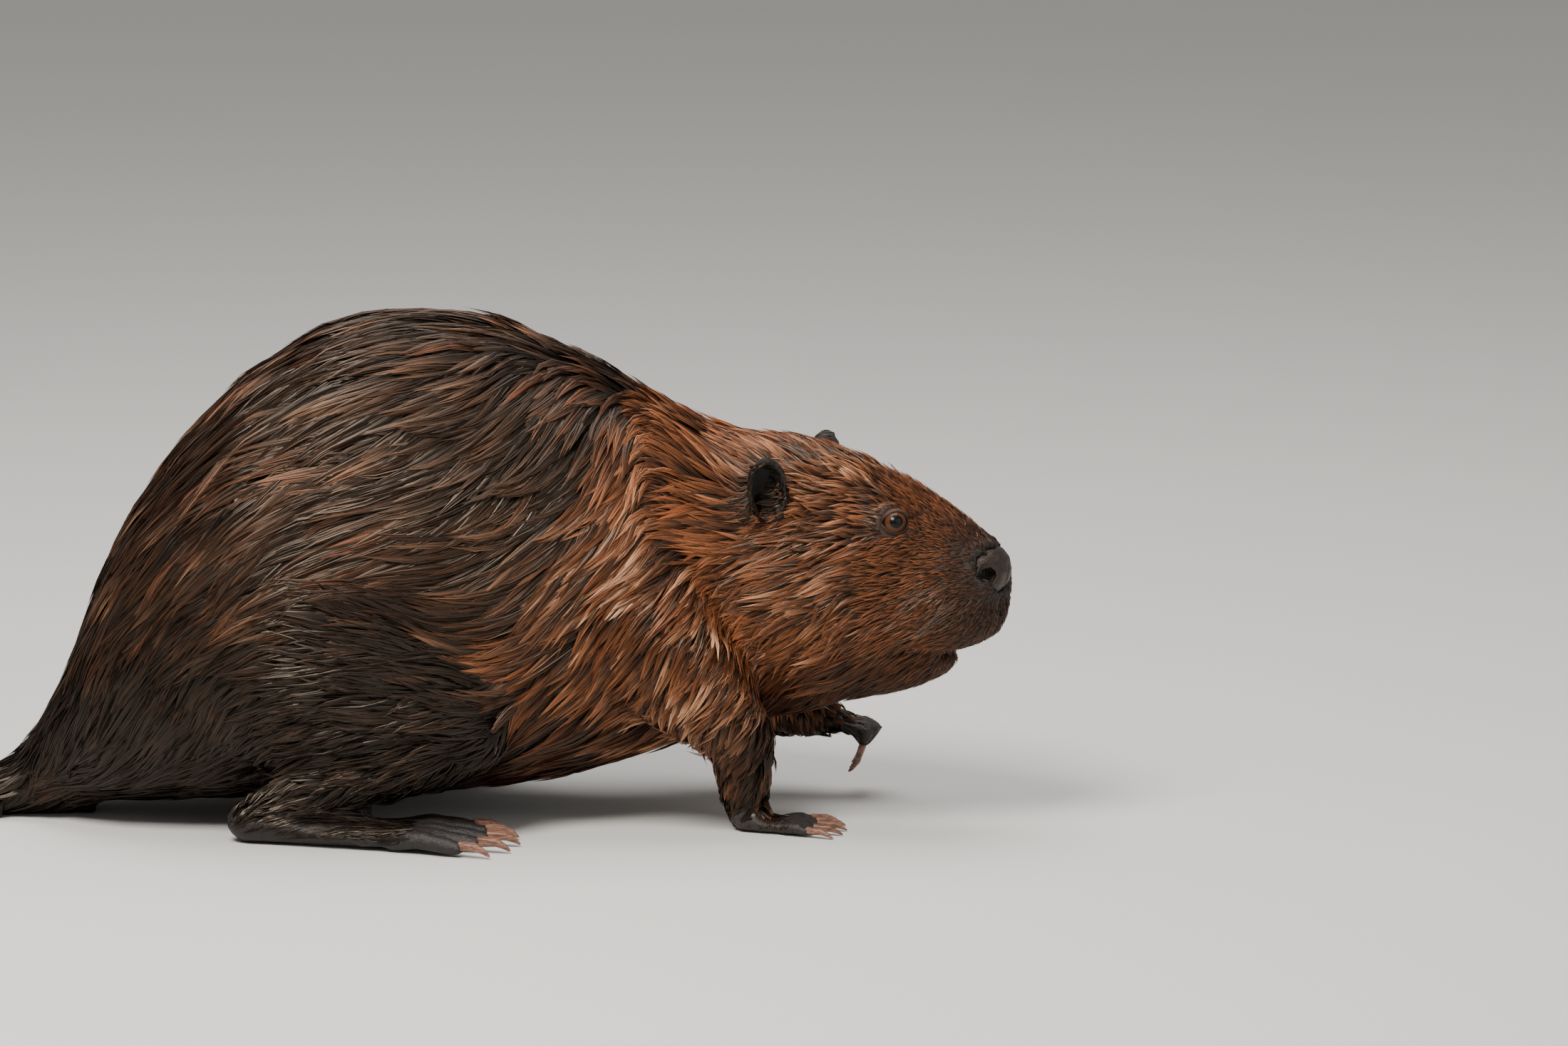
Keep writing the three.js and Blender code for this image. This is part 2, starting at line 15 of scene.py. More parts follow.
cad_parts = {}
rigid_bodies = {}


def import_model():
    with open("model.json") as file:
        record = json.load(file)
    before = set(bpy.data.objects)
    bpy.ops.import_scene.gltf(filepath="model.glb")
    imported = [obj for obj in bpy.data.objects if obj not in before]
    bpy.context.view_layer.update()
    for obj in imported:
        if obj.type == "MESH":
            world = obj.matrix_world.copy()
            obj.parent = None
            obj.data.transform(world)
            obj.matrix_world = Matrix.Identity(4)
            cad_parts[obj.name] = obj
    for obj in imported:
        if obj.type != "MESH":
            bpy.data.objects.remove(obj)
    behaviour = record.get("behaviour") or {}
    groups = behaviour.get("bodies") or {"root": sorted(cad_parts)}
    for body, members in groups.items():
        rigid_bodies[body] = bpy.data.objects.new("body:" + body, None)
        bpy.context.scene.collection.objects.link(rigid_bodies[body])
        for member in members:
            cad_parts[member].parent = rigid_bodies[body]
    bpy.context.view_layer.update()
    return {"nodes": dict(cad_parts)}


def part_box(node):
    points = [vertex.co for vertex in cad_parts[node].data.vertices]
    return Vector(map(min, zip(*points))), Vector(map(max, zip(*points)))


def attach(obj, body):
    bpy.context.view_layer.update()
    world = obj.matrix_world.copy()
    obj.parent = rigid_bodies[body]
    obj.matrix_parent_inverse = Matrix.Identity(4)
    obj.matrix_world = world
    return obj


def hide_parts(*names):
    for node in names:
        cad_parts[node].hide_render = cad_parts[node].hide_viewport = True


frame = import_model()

MM = 0.001  # metres in a millimetre: every size below is in millimetres
SEED = 2718
MOST_TRIANGLES = 190000  # in one coat piece
PATCH = 0.003  # how far a lock's patch reaches across the coat's texture map
HEAD_AT = np.array([301.5, -21.5, 0.0])  # floor point under the middle of the ears
HEAD_TURN = math.radians(-20.0)
HEAD_AXES = np.array(  # along the head, out to its left, and up
    [
        [math.cos(HEAD_TURN), math.sin(HEAD_TURN), 0.0],
        [-math.sin(HEAD_TURN), math.cos(HEAD_TURN), 0.0],
        [0.0, 0.0, 1.0],
    ]
)
PRIMES = (73856093, 19349663, 83492791)  # of the hash that noise draws from
MIXER = (1103515245, 12345)  # factor and step of the hash's last mixing
LOG = logging.getLogger("beaver")


class Side(Enum):
    """The two sides of the animal, by the sign of Y."""

    RIGHT = -1
    LEFT = 1


SIDES = (Side.RIGHT, Side.LEFT)


# ---------------------------------------------------------------- numbers


def unit(vectors: np.ndarray) -> np.ndarray:
    """The vectors at length one."""
    return vectors / np.maximum(np.linalg.norm(vectors, axis=-1, keepdims=True), 1e-9)


def ease(values: np.ndarray, low: float, high: float) -> np.ndarray:
    """A smooth step from 0 at low to 1 at high, either way round."""
    t = np.clip((values - low) / (high - low), 0.0, 1.0)
    return t * t * (3.0 - 2.0 * t)


def noise(points: np.ndarray, size: float, seed: int) -> np.ndarray:
    """Smooth noise over space.

    Args:
        points: Places, in millimetres, with their coordinates on the last axis.
        size: The spacing of the noise's cells, in millimetres.
        seed: Which noise.

    Returns:
        A value from -1 to 1 for each place.
    """
    q = points / size + 17.31 * seed + 500.0
    cell = np.floor(q).astype(np.int64)
    share = q - cell
    share = share * share * (3.0 - 2.0 * share)
    total = np.zeros(points.shape[:-1])
    for corner in np.ndindex(2, 2, 2):
        at = cell + np.array(corner)
        mixed = (at[..., 0] * PRIMES[0]) ^ (at[..., 1] * PRIMES[1]) ^ (at[..., 2] * PRIMES[2])
        mixed = ((mixed & 0xFFFFFF) * MIXER[0] + MIXER[1]) & 0x7FFFFFFF
        weight = np.prod(np.where(np.array(corner) == 1, share, 1.0 - share), axis=-1)
        total += weight * (mixed / 0x3FFFFFFF - 1.0)
    return total


def to_head(points: np.ndarray) -> np.ndarray:
    """Places in the head's frame: along its axis, out to its left, and up."""
    return (points - HEAD_AT) @ HEAD_AXES.T


def from_head(points: np.ndarray, ways: bool = False) -> np.ndarray:
    """Places, or with ways directions, given in the head's frame."""
    turned = points @ HEAD_AXES
    return turned if ways else turned + HEAD_AT


def folded(points: np.ndarray) -> np.ndarray:
    """Places with those on the right brought over to the left."""
    return points * np.array([1.0, 0.0, 1.0]) + np.abs(points * np.array([0.0, 1.0, 0.0]))


def outside(points: np.ndarray, box: np.ndarray) -> np.ndarray:
    """How far places are outside a box, below 0 for those in it."""
    return np.maximum(box[0] - points, points - box[1]).max(axis=1)


# The cleft under the nose and the line between the lips, out to its corner, in the head's frame.
MOUTH = (
    (129.0, 0.0, 148.0),
    (129.0, 0.0, 127.0),
    (121.0, 0.0, 117.0),
    (102.0, 0.0, 108.0),
    (98.0, 18.0, 107.0),
    (88.0, 31.0, 110.0),
    (76.0, 39.0, 114.0),
)


def to_mouth(points: np.ndarray) -> np.ndarray:
    """How far places are from the line between the lips.

    Args:
        points: Places in millimetres.

    Returns:
        The distances in millimetres.
    """
    places = folded(to_head(points))
    nearest = np.full(len(points), np.inf)
    for start, end in zip(MOUTH, MOUTH[1:]):
        a, b = np.array(start), np.array(end)
        share = np.clip(((places - a) @ (b - a)) / ((b - a) @ (b - a)), 0.0, 1.0)
        nearest = np.minimum(nearest, np.linalg.norm(places - a - share[:, None] * (b - a), axis=1))
    return nearest


def linear(red: float, green: float, blue: float) -> tuple[float, float, float, float]:
    """A colour for a shader.

    Args:
        red: Its red, out of 255 on a screen.
        green: Its green.
        blue: Its blue.

    Returns:
        The linear colour, with a full alpha.
    """
    share = np.array([red, green, blue]) / 255.0
    values = np.where(share <= 0.04045, share / 12.92, ((share + 0.055) / 1.055) ** 2.4)
    return (*[float(v) for v in values], 1.0)


# ---------------------------------------------------------------- the solids


def named(part: str, side: Side) -> str:
    """The name of the node for a part that each side has."""
    return f"{part}_{side.name.lower()}"


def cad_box(node: str) -> np.ndarray:
    """The lowest and highest corner of a solid, in millimetres."""
    return np.array([list(corner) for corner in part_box(node)]) / MM


def middle(part: str, side: Side) -> np.ndarray:
    """The middle of a part that each side has, in millimetres."""
    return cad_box(named(part, side)).mean(axis=0)


def distance_to(node: str, points: np.ndarray, limit: float) -> np.ndarray:
    """How far places are from a solid's surface, as the limit where they are farther.

    Args:
        node: The solid.
        points: Places in millimetres.
        limit: The greatest distance that matters.

    Returns:
        The distances in millimetres.
    """
    low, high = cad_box(node)
    close = np.flatnonzero(((points > low - limit) & (points < high + limit)).all(axis=1))
    mesh = bpy.data.objects[node].data
    tree = BVHTree.FromPolygons([v.co / MM for v in mesh.vertices], [p.vertices for p in mesh.polygons])
    apart = np.full(len(points), limit)
    for number in close:
        apart[number] = min(limit, tree.find_nearest(Vector(points[number]))[3])
    return apart


# ---------------------------------------------------------------- shader building


class Value:
    """A shader socket that arithmetic can be done with."""

    def __init__(self, paint: "Paint", socket: bpy.types.NodeSocket) -> None:
        """Keep the socket and the paint whose nodes it belongs to."""
        self.paint = paint
        self.socket = socket

    def _math(self, operation: str, first: object, second: object) -> "Value":
        """Add one Math node.

        Args:
            operation: What it does.
            first: Its first value.
            second: Its second value.

        Returns:
            The result.
        """
        node = self.paint.node("ShaderNodeMath", {"operation": operation}, {0: first, 1: second})
        return Value(self.paint, node.outputs[0])

    def __add__(self, other: object) -> "Value":
        """This plus other."""
        return self._math("ADD", self, other)

    def __sub__(self, other: object) -> "Value":
        """This less other."""
        return self._math("SUBTRACT", self, other)

    def __mul__(self, other: object) -> "Value":
        """This times other."""
        return self._math("MULTIPLY", self, other)

    def __rsub__(self, other: object) -> "Value":
        """Other less this."""
        return self._math("SUBTRACT", other, self)

    __radd__ = __add__
    __rmul__ = __mul__

    def step(self, low: float, high: float) -> "Value":
        """A smooth step from 0 to 1.

        Args:
            low: Where it starts.
            high: Where it ends.

        Returns:
            The step.
        """
        node = self.paint.node(
            "ShaderNodeMapRange",
            {"interpolation_type": "SMOOTHSTEP"},
            {"Value": self, "From Min": low, "From Max": high},
        )
        return Value(self.paint, node.outputs[0])


class Paint:
    """A material being built from nodes."""

    def __init__(self, name: str) -> None:
        """Start an empty material.

        Args:
            name: The material's name.
        """
        self.material = bpy.data.materials.new(name)
        self.material.use_nodes = True
        self.tree = self.material.node_tree
        self.tree.nodes.clear()

    def node(self, kind: str, settings: dict, inputs: dict) -> bpy.types.Node:
        """Add one node.

        Args:
            kind: The node's type.
            settings: Its own settings.
            inputs: A value, socket or Value for each input, by its name or place.

        Returns:
            The node.
        """
        made = self.tree.nodes.new(kind)
        for key, value in settings.items():
            setattr(made, key, value)
        for key, value in inputs.items():
            socket = made.inputs[key]
            if isinstance(value, Value):
                self.tree.links.new(value.socket, socket)
            elif isinstance(value, bpy.types.NodeSocket):
                self.tree.links.new(value, socket)
            else:
                socket.default_value = value
        return made

    def place(self) -> bpy.types.NodeSocket:
        """The surface's place in the object's own space."""
        return self.node("ShaderNodeTexCoord", {}, {}).outputs["Object"]

    def attribute(self, name: str) -> bpy.types.Node:
        """A value that the mesh carries."""
        return self.node("ShaderNodeAttribute", {"attribute_name": name}, {})

    def grain(self, scale: float, detail: float = 3.0, stretch: tuple = (1, 1, 1)) -> Value:
        """Cloudy noise.

        Args:
            scale: How many of its cells there are in a metre.
            detail: How many finer layers it has.
            stretch: A factor on the scale along each axis.

        Returns:
            A value from 0 to 1.
        """
        spread = self.node(
            "ShaderNodeMapping", {"vector_type": "POINT"}, {"Vector": self.place(), "Scale": stretch}
        )
        made = self.node(
            "ShaderNodeTexNoise",
            {},
            {"Vector": spread.outputs[0], "Scale": scale, "Detail": detail, "Roughness": 0.6},
        )
        return Value(self, made.outputs["Fac"])

    def cells(self, scale: float) -> Value:
        """The distance to the nearest of scattered points, with this many in a metre."""
        made = self.node("ShaderNodeTexVoronoi", {}, {"Vector": self.place(), "Scale": scale})
        return Value(self, made.outputs["Distance"])

    def mix(self, share: object, first: object, second: object) -> bpy.types.NodeSocket:
        """A colour between two colours.

        Args:
            share: How far it is from the first to the second.
            first: The first colour.
            second: The second colour.

        Returns:
            The colour.
        """
        made = self.node(
            "ShaderNodeMix",
            {"data_type": "RGBA", "clamp_factor": True},
            {0: share, 6: first, 7: second},
        )
        return made.outputs[2]

    def shade(self, color: object, amount: object) -> bpy.types.NodeSocket:
        """A colour scaled by an amount.

        Args:
            color: The colour.
            amount: The factor on it.

        Returns:
            The scaled colour.
        """
        start = color[:3] if isinstance(color, tuple) else color
        scaled = self.node(
            "ShaderNodeVectorMath", {"operation": "SCALE"}, {0: start, "Scale": amount}
        )
        return scaled.outputs[0]

    def bump(self, height: object, distance: float) -> bpy.types.NodeSocket:
        """A normal from a height, with its full rise in millimetres."""
        made = self.node("ShaderNodeBump", {}, {"Height": height, "Distance": distance * MM})
        return made.outputs[0]

    def finish(self, inputs: dict) -> bpy.types.Material:
        """End with one surface shader that has these inputs."""
        shader = self.node("ShaderNodeBsdfPrincipled", {}, inputs)
        self.node("ShaderNodeOutputMaterial", {}, {"Surface": shader.outputs[0]})
        return self.material


# ---------------------------------------------------------------- finishes


@dataclass(frozen=True)
class CoatFinish:
    """Wet guard hair: dark at its roots by its own colour and by painted shade, lighter at its tips,
    coloured by the coat's markings and by painted shade, highlight and sheen.
    """

    name: str = "coat"
    back: tuple = linear(20, 10, 4)
    back_tip: tuple = linear(54, 30, 15)
    ruddy: tuple = linear(70, 33, 13)
    ruddy_tip: tuple = linear(148, 87, 51)
    accent: tuple = linear(158, 80, 38)
    # The tips of the painted highlight.
    highlight_tip: tuple = linear(228, 192, 152)
    # The tips of the painted sheen, and of the grey on the crown and muzzle.
    sheen_and_grey_tip: tuple = linear(84, 60, 48)
    # Black marks, and the painted shade on the haunch, belly and throat.
    black_and_shade: tuple = linear(22, 18, 17)
    # What the roots keep of the brightness: painted shade deep in the coat.
    root_shade: float = 0.15
    sheen: tuple = (1.0, 0.82, 0.66, 1.0)
    roughness: float = 0.3

    def material(self) -> bpy.types.Material:
        """Build the material from the marks and the painted light that each lock carries.

        Returns:
            The material.
        """
        paint = Paint(self.name)
        marks = paint.attribute("Marks")
        parts = paint.node("ShaderNodeSeparateColor", {}, {"Color": marks.outputs["Color"]})
        ruddy, painted_highlight, sheen_and_grey = (Value(paint, parts.outputs[i]) for i in range(3))
        black_and_shade = Value(paint, marks.outputs["Alpha"])
        along = Value(paint, paint.attribute("Along").outputs["Fac"])
        lot = Value(paint, paint.attribute("Lot").outputs["Fac"])
        tip = along.step(0.1, 1.0)
        dark = paint.mix(tip, self.back, self.back_tip)
        # Grey tips: a painted sheen on the back, and grey on the crown and muzzle.
        dark = paint.mix(tip * sheen_and_grey * lot.step(0.3, 1.0), dark, self.sheen_and_grey_tip)
        warm = paint.mix(tip, self.ruddy, self.ruddy_tip)
        color = paint.mix(ruddy, dark, warm)
        # Only locks with a high lot take the accent or a pale tip, a painted highlight.
        color = paint.mix(lot.step(0.74, 0.86) * (ruddy * 0.55 + 0.15), color, self.accent)
        color = paint.mix(painted_highlight * tip * lot.step(0.55, 0.8), color, self.highlight_tip)
        # Black marks, and painted shade on the haunch, belly and throat.
        color = paint.mix(black_and_shade, color, self.black_and_shade)
        # Brightness: a random tone for each lock, times painted shade that darkens the roots deep in the
        # coat.
        light = (lot.step(0.08, 0.94) * 1.4 + 0.2) * (tip * (1.0 - self.root_shade) + self.root_shade)
        return paint.finish(
            {
                "Base Color": paint.shade(color, light),
                "Roughness": self.roughness + lot * 0.2,
                "Specular IOR Level": 0.42,
                "Specular Tint": self.sheen,
            }
        )


@dataclass(frozen=True)
class SkinFinish:
    """The skin and its underfur, with bare leathery soles and muzzle, and painted shade on the haunch,
    belly and throat.
    """

    name: str = "skin"
    back: tuple = linear(24, 16, 12)
    ruddy: tuple = linear(44, 25, 15)
    bare: tuple = linear(62, 51, 46)
    bare_dark: tuple = linear(34, 28, 26)
    black_and_shade: tuple = linear(16, 13, 12)

    def material(self) -> bpy.types.Material:
        """Build the material from the marks and the painted shade on the skin.

        Returns:
            The material.
        """
        paint = Paint(self.name)
        marks = paint.attribute("Marks")
        parts = paint.node("ShaderNodeSeparateColor", {}, {"Color": marks.outputs["Color"]})
        ruddy = Value(paint, parts.outputs[0])
        bare = Value(paint, paint.attribute("Bare").outputs["Fac"])
        grain = paint.grain(260.0, 4.0)
        fine = paint.grain(1900.0, 3.0)
        pebbles = paint.cells(620.0)
        fur = paint.shade(paint.mix(ruddy, self.back, self.ruddy), grain * 0.9 + 0.5)
        leather = paint.mix(grain.step(0.3, 0.7), self.bare_dark, self.bare)
        color = paint.mix(bare, fur, paint.shade(leather, pebbles * 0.7 + 0.75))
        # Black marks, and painted shade on the haunch, belly and throat.
        color = paint.mix(Value(paint, marks.outputs["Alpha"]), color, self.black_and_shade)
        height = bare * (1.0 - pebbles) * 0.7 + fine * 0.5
        return paint.finish(
            {
                "Base Color": color,
                "Roughness": 0.72 - bare * 0.2 + fine * 0.1,
                "Normal": paint.bump(height, 0.45),
            }
        )


@dataclass(frozen=True)
class LeatherFinish:
    """Bare skin such as the nose pad, the lids and the tail's scales."""

    name: str
    low: tuple
    high: tuple
    cells: float  # pebbles in a metre
    relief: float  # their height, in millimetres
    roughness: float
    coat: float = 0.0  # how much of a clear wet coat it has

    def material(self) -> bpy.types.Material:
        """Build the material.

        Returns:
            The material.
        """
        paint = Paint(self.name)
        pebbles = paint.cells(self.cells)
        grain = paint.grain(self.cells * 0.35, 4.0)
        fine = paint.grain(self.cells * 2.5, 2.0)
        color = paint.mix(grain.step(0.3, 0.72), self.low, self.high)
        # Dark carries painted shade in the nostrils and the groove of the nose pad, the lids' dark rim and
        # the darker gaps between the tail's scales.
        dark = Value(paint, paint.attribute("Dark").outputs["Fac"])
        color = paint.shade(color, (pebbles * 0.5 + 0.8) * (1.0 - dark * 0.9))
        height = (1.0 - pebbles) * 0.8 + fine * 0.3
        return paint.finish(
            {
                "Base Color": color,
                "Roughness": self.roughness + grain * 0.16 - 0.08,
                "Coat Weight": self.coat,
                "Coat Roughness": 0.15,
                "Specular Tint": (1.0, 0.88, 0.78, 1.0),
                "Normal": paint.bump(height, self.relief),
            }
        )


@dataclass(frozen=True)
class HornFinish:
    """A claw: horn streaked along its length."""

    name: str = "claws"
    low: tuple = linear(72, 48, 40)
    high: tuple = linear(150, 108, 88)

    def material(self) -> bpy.types.Material:
        """Build the material.

        Returns:
            The material.
        """
        paint = Paint(self.name)
        streaks = paint.grain(900.0, 3.0, (0.12, 1.0, 1.0))
        color = paint.mix(streaks.step(0.25, 0.75), self.low, self.high)
        return paint.finish(
            {
                "Base Color": color,
                "Roughness": 0.3 + streaks * 0.18,
                "Normal": paint.bump(streaks, 0.12),
            }
        )


@dataclass(frozen=True)
class EyeFinish:
    """A wet eye: a black pupil in a dark brown iris, ringed by a darker edge."""

    name: str = "eyes"
    pupil: tuple = linear(4, 3, 3)
    iris: tuple = linear(74, 42, 22)
    rim: tuple = linear(14, 9, 7)

    def material(self) -> bpy.types.Material:
        """Build the material from the turn away from the eye's axis that the mesh carries.

        Returns:
            The material.
        """
        paint = Paint(self.name)
        turn = Value(paint, paint.attribute("Turn").outputs["Fac"])
        rays = paint.grain(1500.0, 3.0)
        iris = paint.shade(self.iris, rays * 1.1 + 0.45)
        color = paint.mix(turn.step(0.46, 0.56), self.pupil, iris)
        color = paint.mix(turn.step(0.84, 1.04), color, self.rim)
        return paint.finish(
            {
                "Base Color": color,
                "Roughness": 0.3 + rays * 0.05,
                "Specular IOR Level": 0.12,
                "Coat Weight": 0.5,
                "Coat Roughness": 0.02,
                "Coat IOR": 1.33,
            }
        )


@dataclass(frozen=True)
class FloorFinish:
    """A plain pale floor."""

    name: str = "floor"
    color: tuple = (0.62, 0.61, 0.59, 1.0)

    def material(self) -> bpy.types.Material:
        """Build the material.

        Returns:
            The material.
        """
        paint = Paint(self.name)
        cloud = paint.grain(2.0, 2.0)
        return paint.finish({"Base Color": paint.shade(self.color, cloud * 0.04 + 0.98), "Roughness": 0.9})


# ---------------------------------------------------------------- meshes


def mesh_object(
    name: str,
    points: np.ndarray,
    loops: np.ndarray,
    totals: np.ndarray,
    material: bpy.types.Material,
) -> bpy.types.Object:
    """Make a smooth mesh object.

    Args:
        name: The object's name.
        points: Places in millimetres.
        loops: The vertex of every face corner, face after face.
        totals: How many corners each face has.
        material: Its finish.

    Returns:
        The object, in the scene.
    """
    mesh = bpy.data.meshes.new(name)
    mesh.vertices.add(len(points))
    mesh.vertices.foreach_set("co", (points * MM).astype(np.float32).ravel())
    mesh.loops.add(len(loops))
    mesh.loops.foreach_set("vertex_index", loops.astype(np.int32).ravel())
    mesh.polygons.add(len(totals))
    starts = np.concatenate([[0], np.cumsum(totals)[:-1]])
    mesh.polygons.foreach_set("loop_start", starts.astype(np.int32))
    mesh.polygons.foreach_set("loop_total", totals.astype(np.int32))
    mesh.update(calc_edges=True)
    mesh.shade_smooth()
    mesh.materials.append(material)
    made = bpy.data.objects.new(name, mesh)
    bpy.context.scene.collection.objects.link(made)
    return made


def carry(made: bpy.types.Object, name: str, values: np.ndarray) -> None:
    """Give a mesh a value, or a colour, at each vertex.

    Args:
        made: The mesh object.
        name: What the shader calls it.
        values: A number for each vertex, or up to four.
    """
    if values.ndim == 1:
        made.data.attributes.new(name, "FLOAT", "POINT").data.foreach_set(
            "value", values.astype(np.float32)
        )
    else:
        full = np.ones((len(values), 4), np.float32)
        full[:, : values.shape[1]] = values
        made.data.attributes.new(name, "FLOAT_COLOR", "POINT").data.foreach_set("color", full.ravel())


def bake_map(made: bpy.types.Object, places: np.ndarray) -> None:
    """Give a mesh its texture map, with a place for each face corner."""
    layer = made.data.uv_layers.new(name="OFBake")
    layer.uv.foreach_set("vector", places.astype(np.float32).ravel())


def settle(made: bpy.types.Object, replaced: tuple[str, ...] = ()) -> bpy.types.Object:
    """Ride a piece on the body and hide the nodes that it stands for.

    Args:
        made: The piece.
        replaced: The nodes that it stands for.

    Returns:
        The piece.
    """
    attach(made, "root")
    if replaced:
        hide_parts(*replaced)
    LOG.info("%s: %d triangles", made.name, sum(len(p.vertices) - 2 for p in made.data.polygons))
    return made


@dataclass
class Surface:
    """A mesh of quads as arrays, in millimetres."""

    points: np.ndarray
    quads: np.ndarray
    edges: np.ndarray = field(init=False)

    def __post_init__(self) -> None:
        """Find the edges."""
        pairs = np.concatenate([self.quads[:, [i, (i + 1) % 4]] for i in range(4)])
        self.edges = np.unique(np.sort(pairs, axis=1), axis=0)

    @classmethod
    def remeshed(cls, nodes: tuple[str, ...], voxel: float) -> "Surface":
        """Fuse some solids into one skin.

        Args:
            nodes: The solids' names.
            voxel: The size of a quad, in millimetres.

        Returns:
            The outer surface of them all.
        """
        points, faces = [], []
        count = 0
        for name in nodes:
            mesh = bpy.data.objects[name].data
            points.extend(v.co.copy() for v in mesh.vertices)
            faces.extend([count + i for i in p.vertices] for p in mesh.polygons)
            count += len(mesh.vertices)
        mesh = bpy.data.meshes.new("fused")
        mesh.from_pydata(points, [], faces)
        fused = bpy.data.objects.new("fused", mesh)
        bpy.context.scene.collection.objects.link(fused)
        remesh = fused.modifiers.new("fuse", "REMESH")
        remesh.mode = "VOXEL"
        remesh.voxel_size = voxel * MM
        graph = bpy.context.evaluated_depsgraph_get()
        result = fused.evaluated_get(graph).to_mesh()
        found = np.zeros(len(result.vertices) * 3, np.float32)
        result.vertices.foreach_get("co", found)
        corners = np.zeros(len(result.loops), np.int32)
        result.loops.foreach_get("vertex_index", corners)
        quads = corners.reshape(-1, 4)
        fused.to_mesh_clear()
        bpy.data.objects.remove(fused)
        return cls(found.reshape(-1, 3).astype(float) / MM, quads).outermost()

    def outermost(self) -> "Surface":
        """Drop what lies inside.

        Returns:
            The largest connected piece.
        """
        label = np.arange(len(self.points))
        while True:
            low = label.copy()
            np.minimum.at(low, self.edges[:, 0], label[self.edges[:, 1]])
            np.minimum.at(low, self.edges[:, 1], label[self.edges[:, 0]])
            low = low[low]
            if (low == label).all():
                break
            label = low
        kept = label == np.bincount(label).argmax()
        number = np.cumsum(kept) - 1
        return Surface(self.points[kept], number[self.quads[kept[self.quads[:, 0]]]])

    def normals(self) -> np.ndarray:
        """Find which way the surface faces.

        Returns:
            The outward direction at each vertex.
        """
        p = self.points[self.quads]
        face = np.cross(p[:, 2] - p[:, 0], p[:, 3] - p[:, 1])
        total = np.zeros_like(self.points)
        for corner in range(4):
            for axis in range(3):
                total[:, axis] += np.bincount(
                    self.quads[:, corner], weights=face[:, axis], minlength=len(self.points)
                )
        return unit(total)

    def areas(self) -> np.ndarray:
        """The area of each quad, in square millimetres."""
        p = self.points[self.quads]
        return 0.5 * np.linalg.norm(np.cross(p[:, 2] - p[:, 0], p[:, 3] - p[:, 1]), axis=1)

    def mean(self, values: np.ndarray) -> np.ndarray:
        """Average over neighbours.

        Args:
            values: A value, or several, for each vertex.

        Returns:
            The mean of them over each vertex's neighbours.
        """
        flat = values.reshape(len(values), -1)
        count = np.bincount(self.edges.ravel(), minlength=len(values))
        total = np.empty_like(flat, dtype=float)
        a, b = self.edges[:, 0], self.edges[:, 1]
        for axis in range(flat.shape[1]):
            total[:, axis] = np.bincount(a, weights=flat[b, axis], minlength=len(values))
            total[:, axis] += np.bincount(b, weights=flat[a, axis], minlength=len(values))
        return (total / np.maximum(count, 1)[:, None]).reshape(values.shape)

    def blurred(self, values: np.ndarray, rounds: int) -> np.ndarray:
        """Spread values over the surface.

        Args:
            values: A value, or several, for each vertex.
            rounds: How often they spread to the next vertex.

        Returns:
            The spread values.
        """
        for _ in range(rounds):
            values = 0.5 * values + 0.5 * self.mean(values)
        return values

    def relax(self, rounds: int, weight: object = 1.0) -> None:
        """Smooth the shape without shrinking it.

        Args:
            rounds: How often.
            weight: How much, for the whole or for each vertex.
        """
        for _ in range(rounds):
            for share in (0.55, -0.57):
                self.points = self.points + share * weight * (self.mean(self.points) - self.points)

    def soften(self, rounds: int, weight: np.ndarray) -> None:
        """Smooth the shape and let it shrink.

        Args:
            rounds: How often.
            weight: How much, for each vertex.
        """
        for _ in range(rounds):
            self.points = self.points + 0.5 * weight * (self.mean(self.points) - self.points)

    def object(self, name: str, material: bpy.types.Material) -> bpy.types.Object:
        """Make its object in the scene."""
        return mesh_object(name, self.points, self.quads.ravel(), np.full(len(self.quads), 4), material)


# ---------------------------------------------------------------- markings, painted light and lie


@dataclass(frozen=True)
class HighlightPatch:
    """A soft-edged patch of painted highlight on the coat's tips, seen from the side."""

    middle: tuple[float, float]  # along and up
    half: tuple[float, float]  # half sizes along and up
    strength: float

    def shown(self, along: np.ndarray, up: np.ndarray) -> np.ndarray:
        """How strongly it shows at each place."""
        first, second = (along - self.middle[0]) / self.half[0], (up - self.middle[1]) / self.half[1]
        return self.strength * np.exp(-(first**2) - second**2)


# Painted highlights on the cheek, shoulder, brow and wrist. The first and third are in the head's frame,
# the others in the body's.
CHEEK = HighlightPatch((40.0, 150.0), (34.0, 36.0), 0.42)
SHOULDER = HighlightPatch((214.0, 150.0), (34.0, 44.0), 0.75)
BROW = HighlightPatch((25.0, 214.0), (36.0, 18.0), 0.45)
WRIST = HighlightPatch((240.0, 80.0), (34.0, 50.0), 0.45)


def ruddiness(points: np.ndarray) -> np.ndarray:
    """How ruddy the coat is: from the shoulders forward, less so at the muzzle, and less low down as
    painted shade.

    Args:
        points: Places in millimetres.

    Returns:
        A share from 0 to 1 for each place.
    """
    x, _, z = points.T
    drift = noise(points, 42.0, 3)
    fine = noise(points, 14.0, 4)
    leant = x - 0.2 * (z - 150.0) - 45.0 * ease(z, 215.0, 285.0) + 24.0 * drift
    ruddy = ease(leant, 126.0, 206.0)
    ruddy *= 1.0 - 0.6 * ease(to_head(points)[:, 0], 88.0, 118.0)
    # Painted shade: less ruddy low on the body.
    ruddy *= 1.0 - 0.45 * ease(z, 95.0, 40.0)
    ruddy = np.clip(ruddy + 0.16 * ease(x, -120.0, -20.0) * fine, 0.0, 1.0)
    for side in SIDES:
        eye = np.linalg.norm(points - middle("eye", side), axis=1)
        ruddy = np.maximum(ruddy, ease(eye, 24.0, 12.0))
    return ruddy


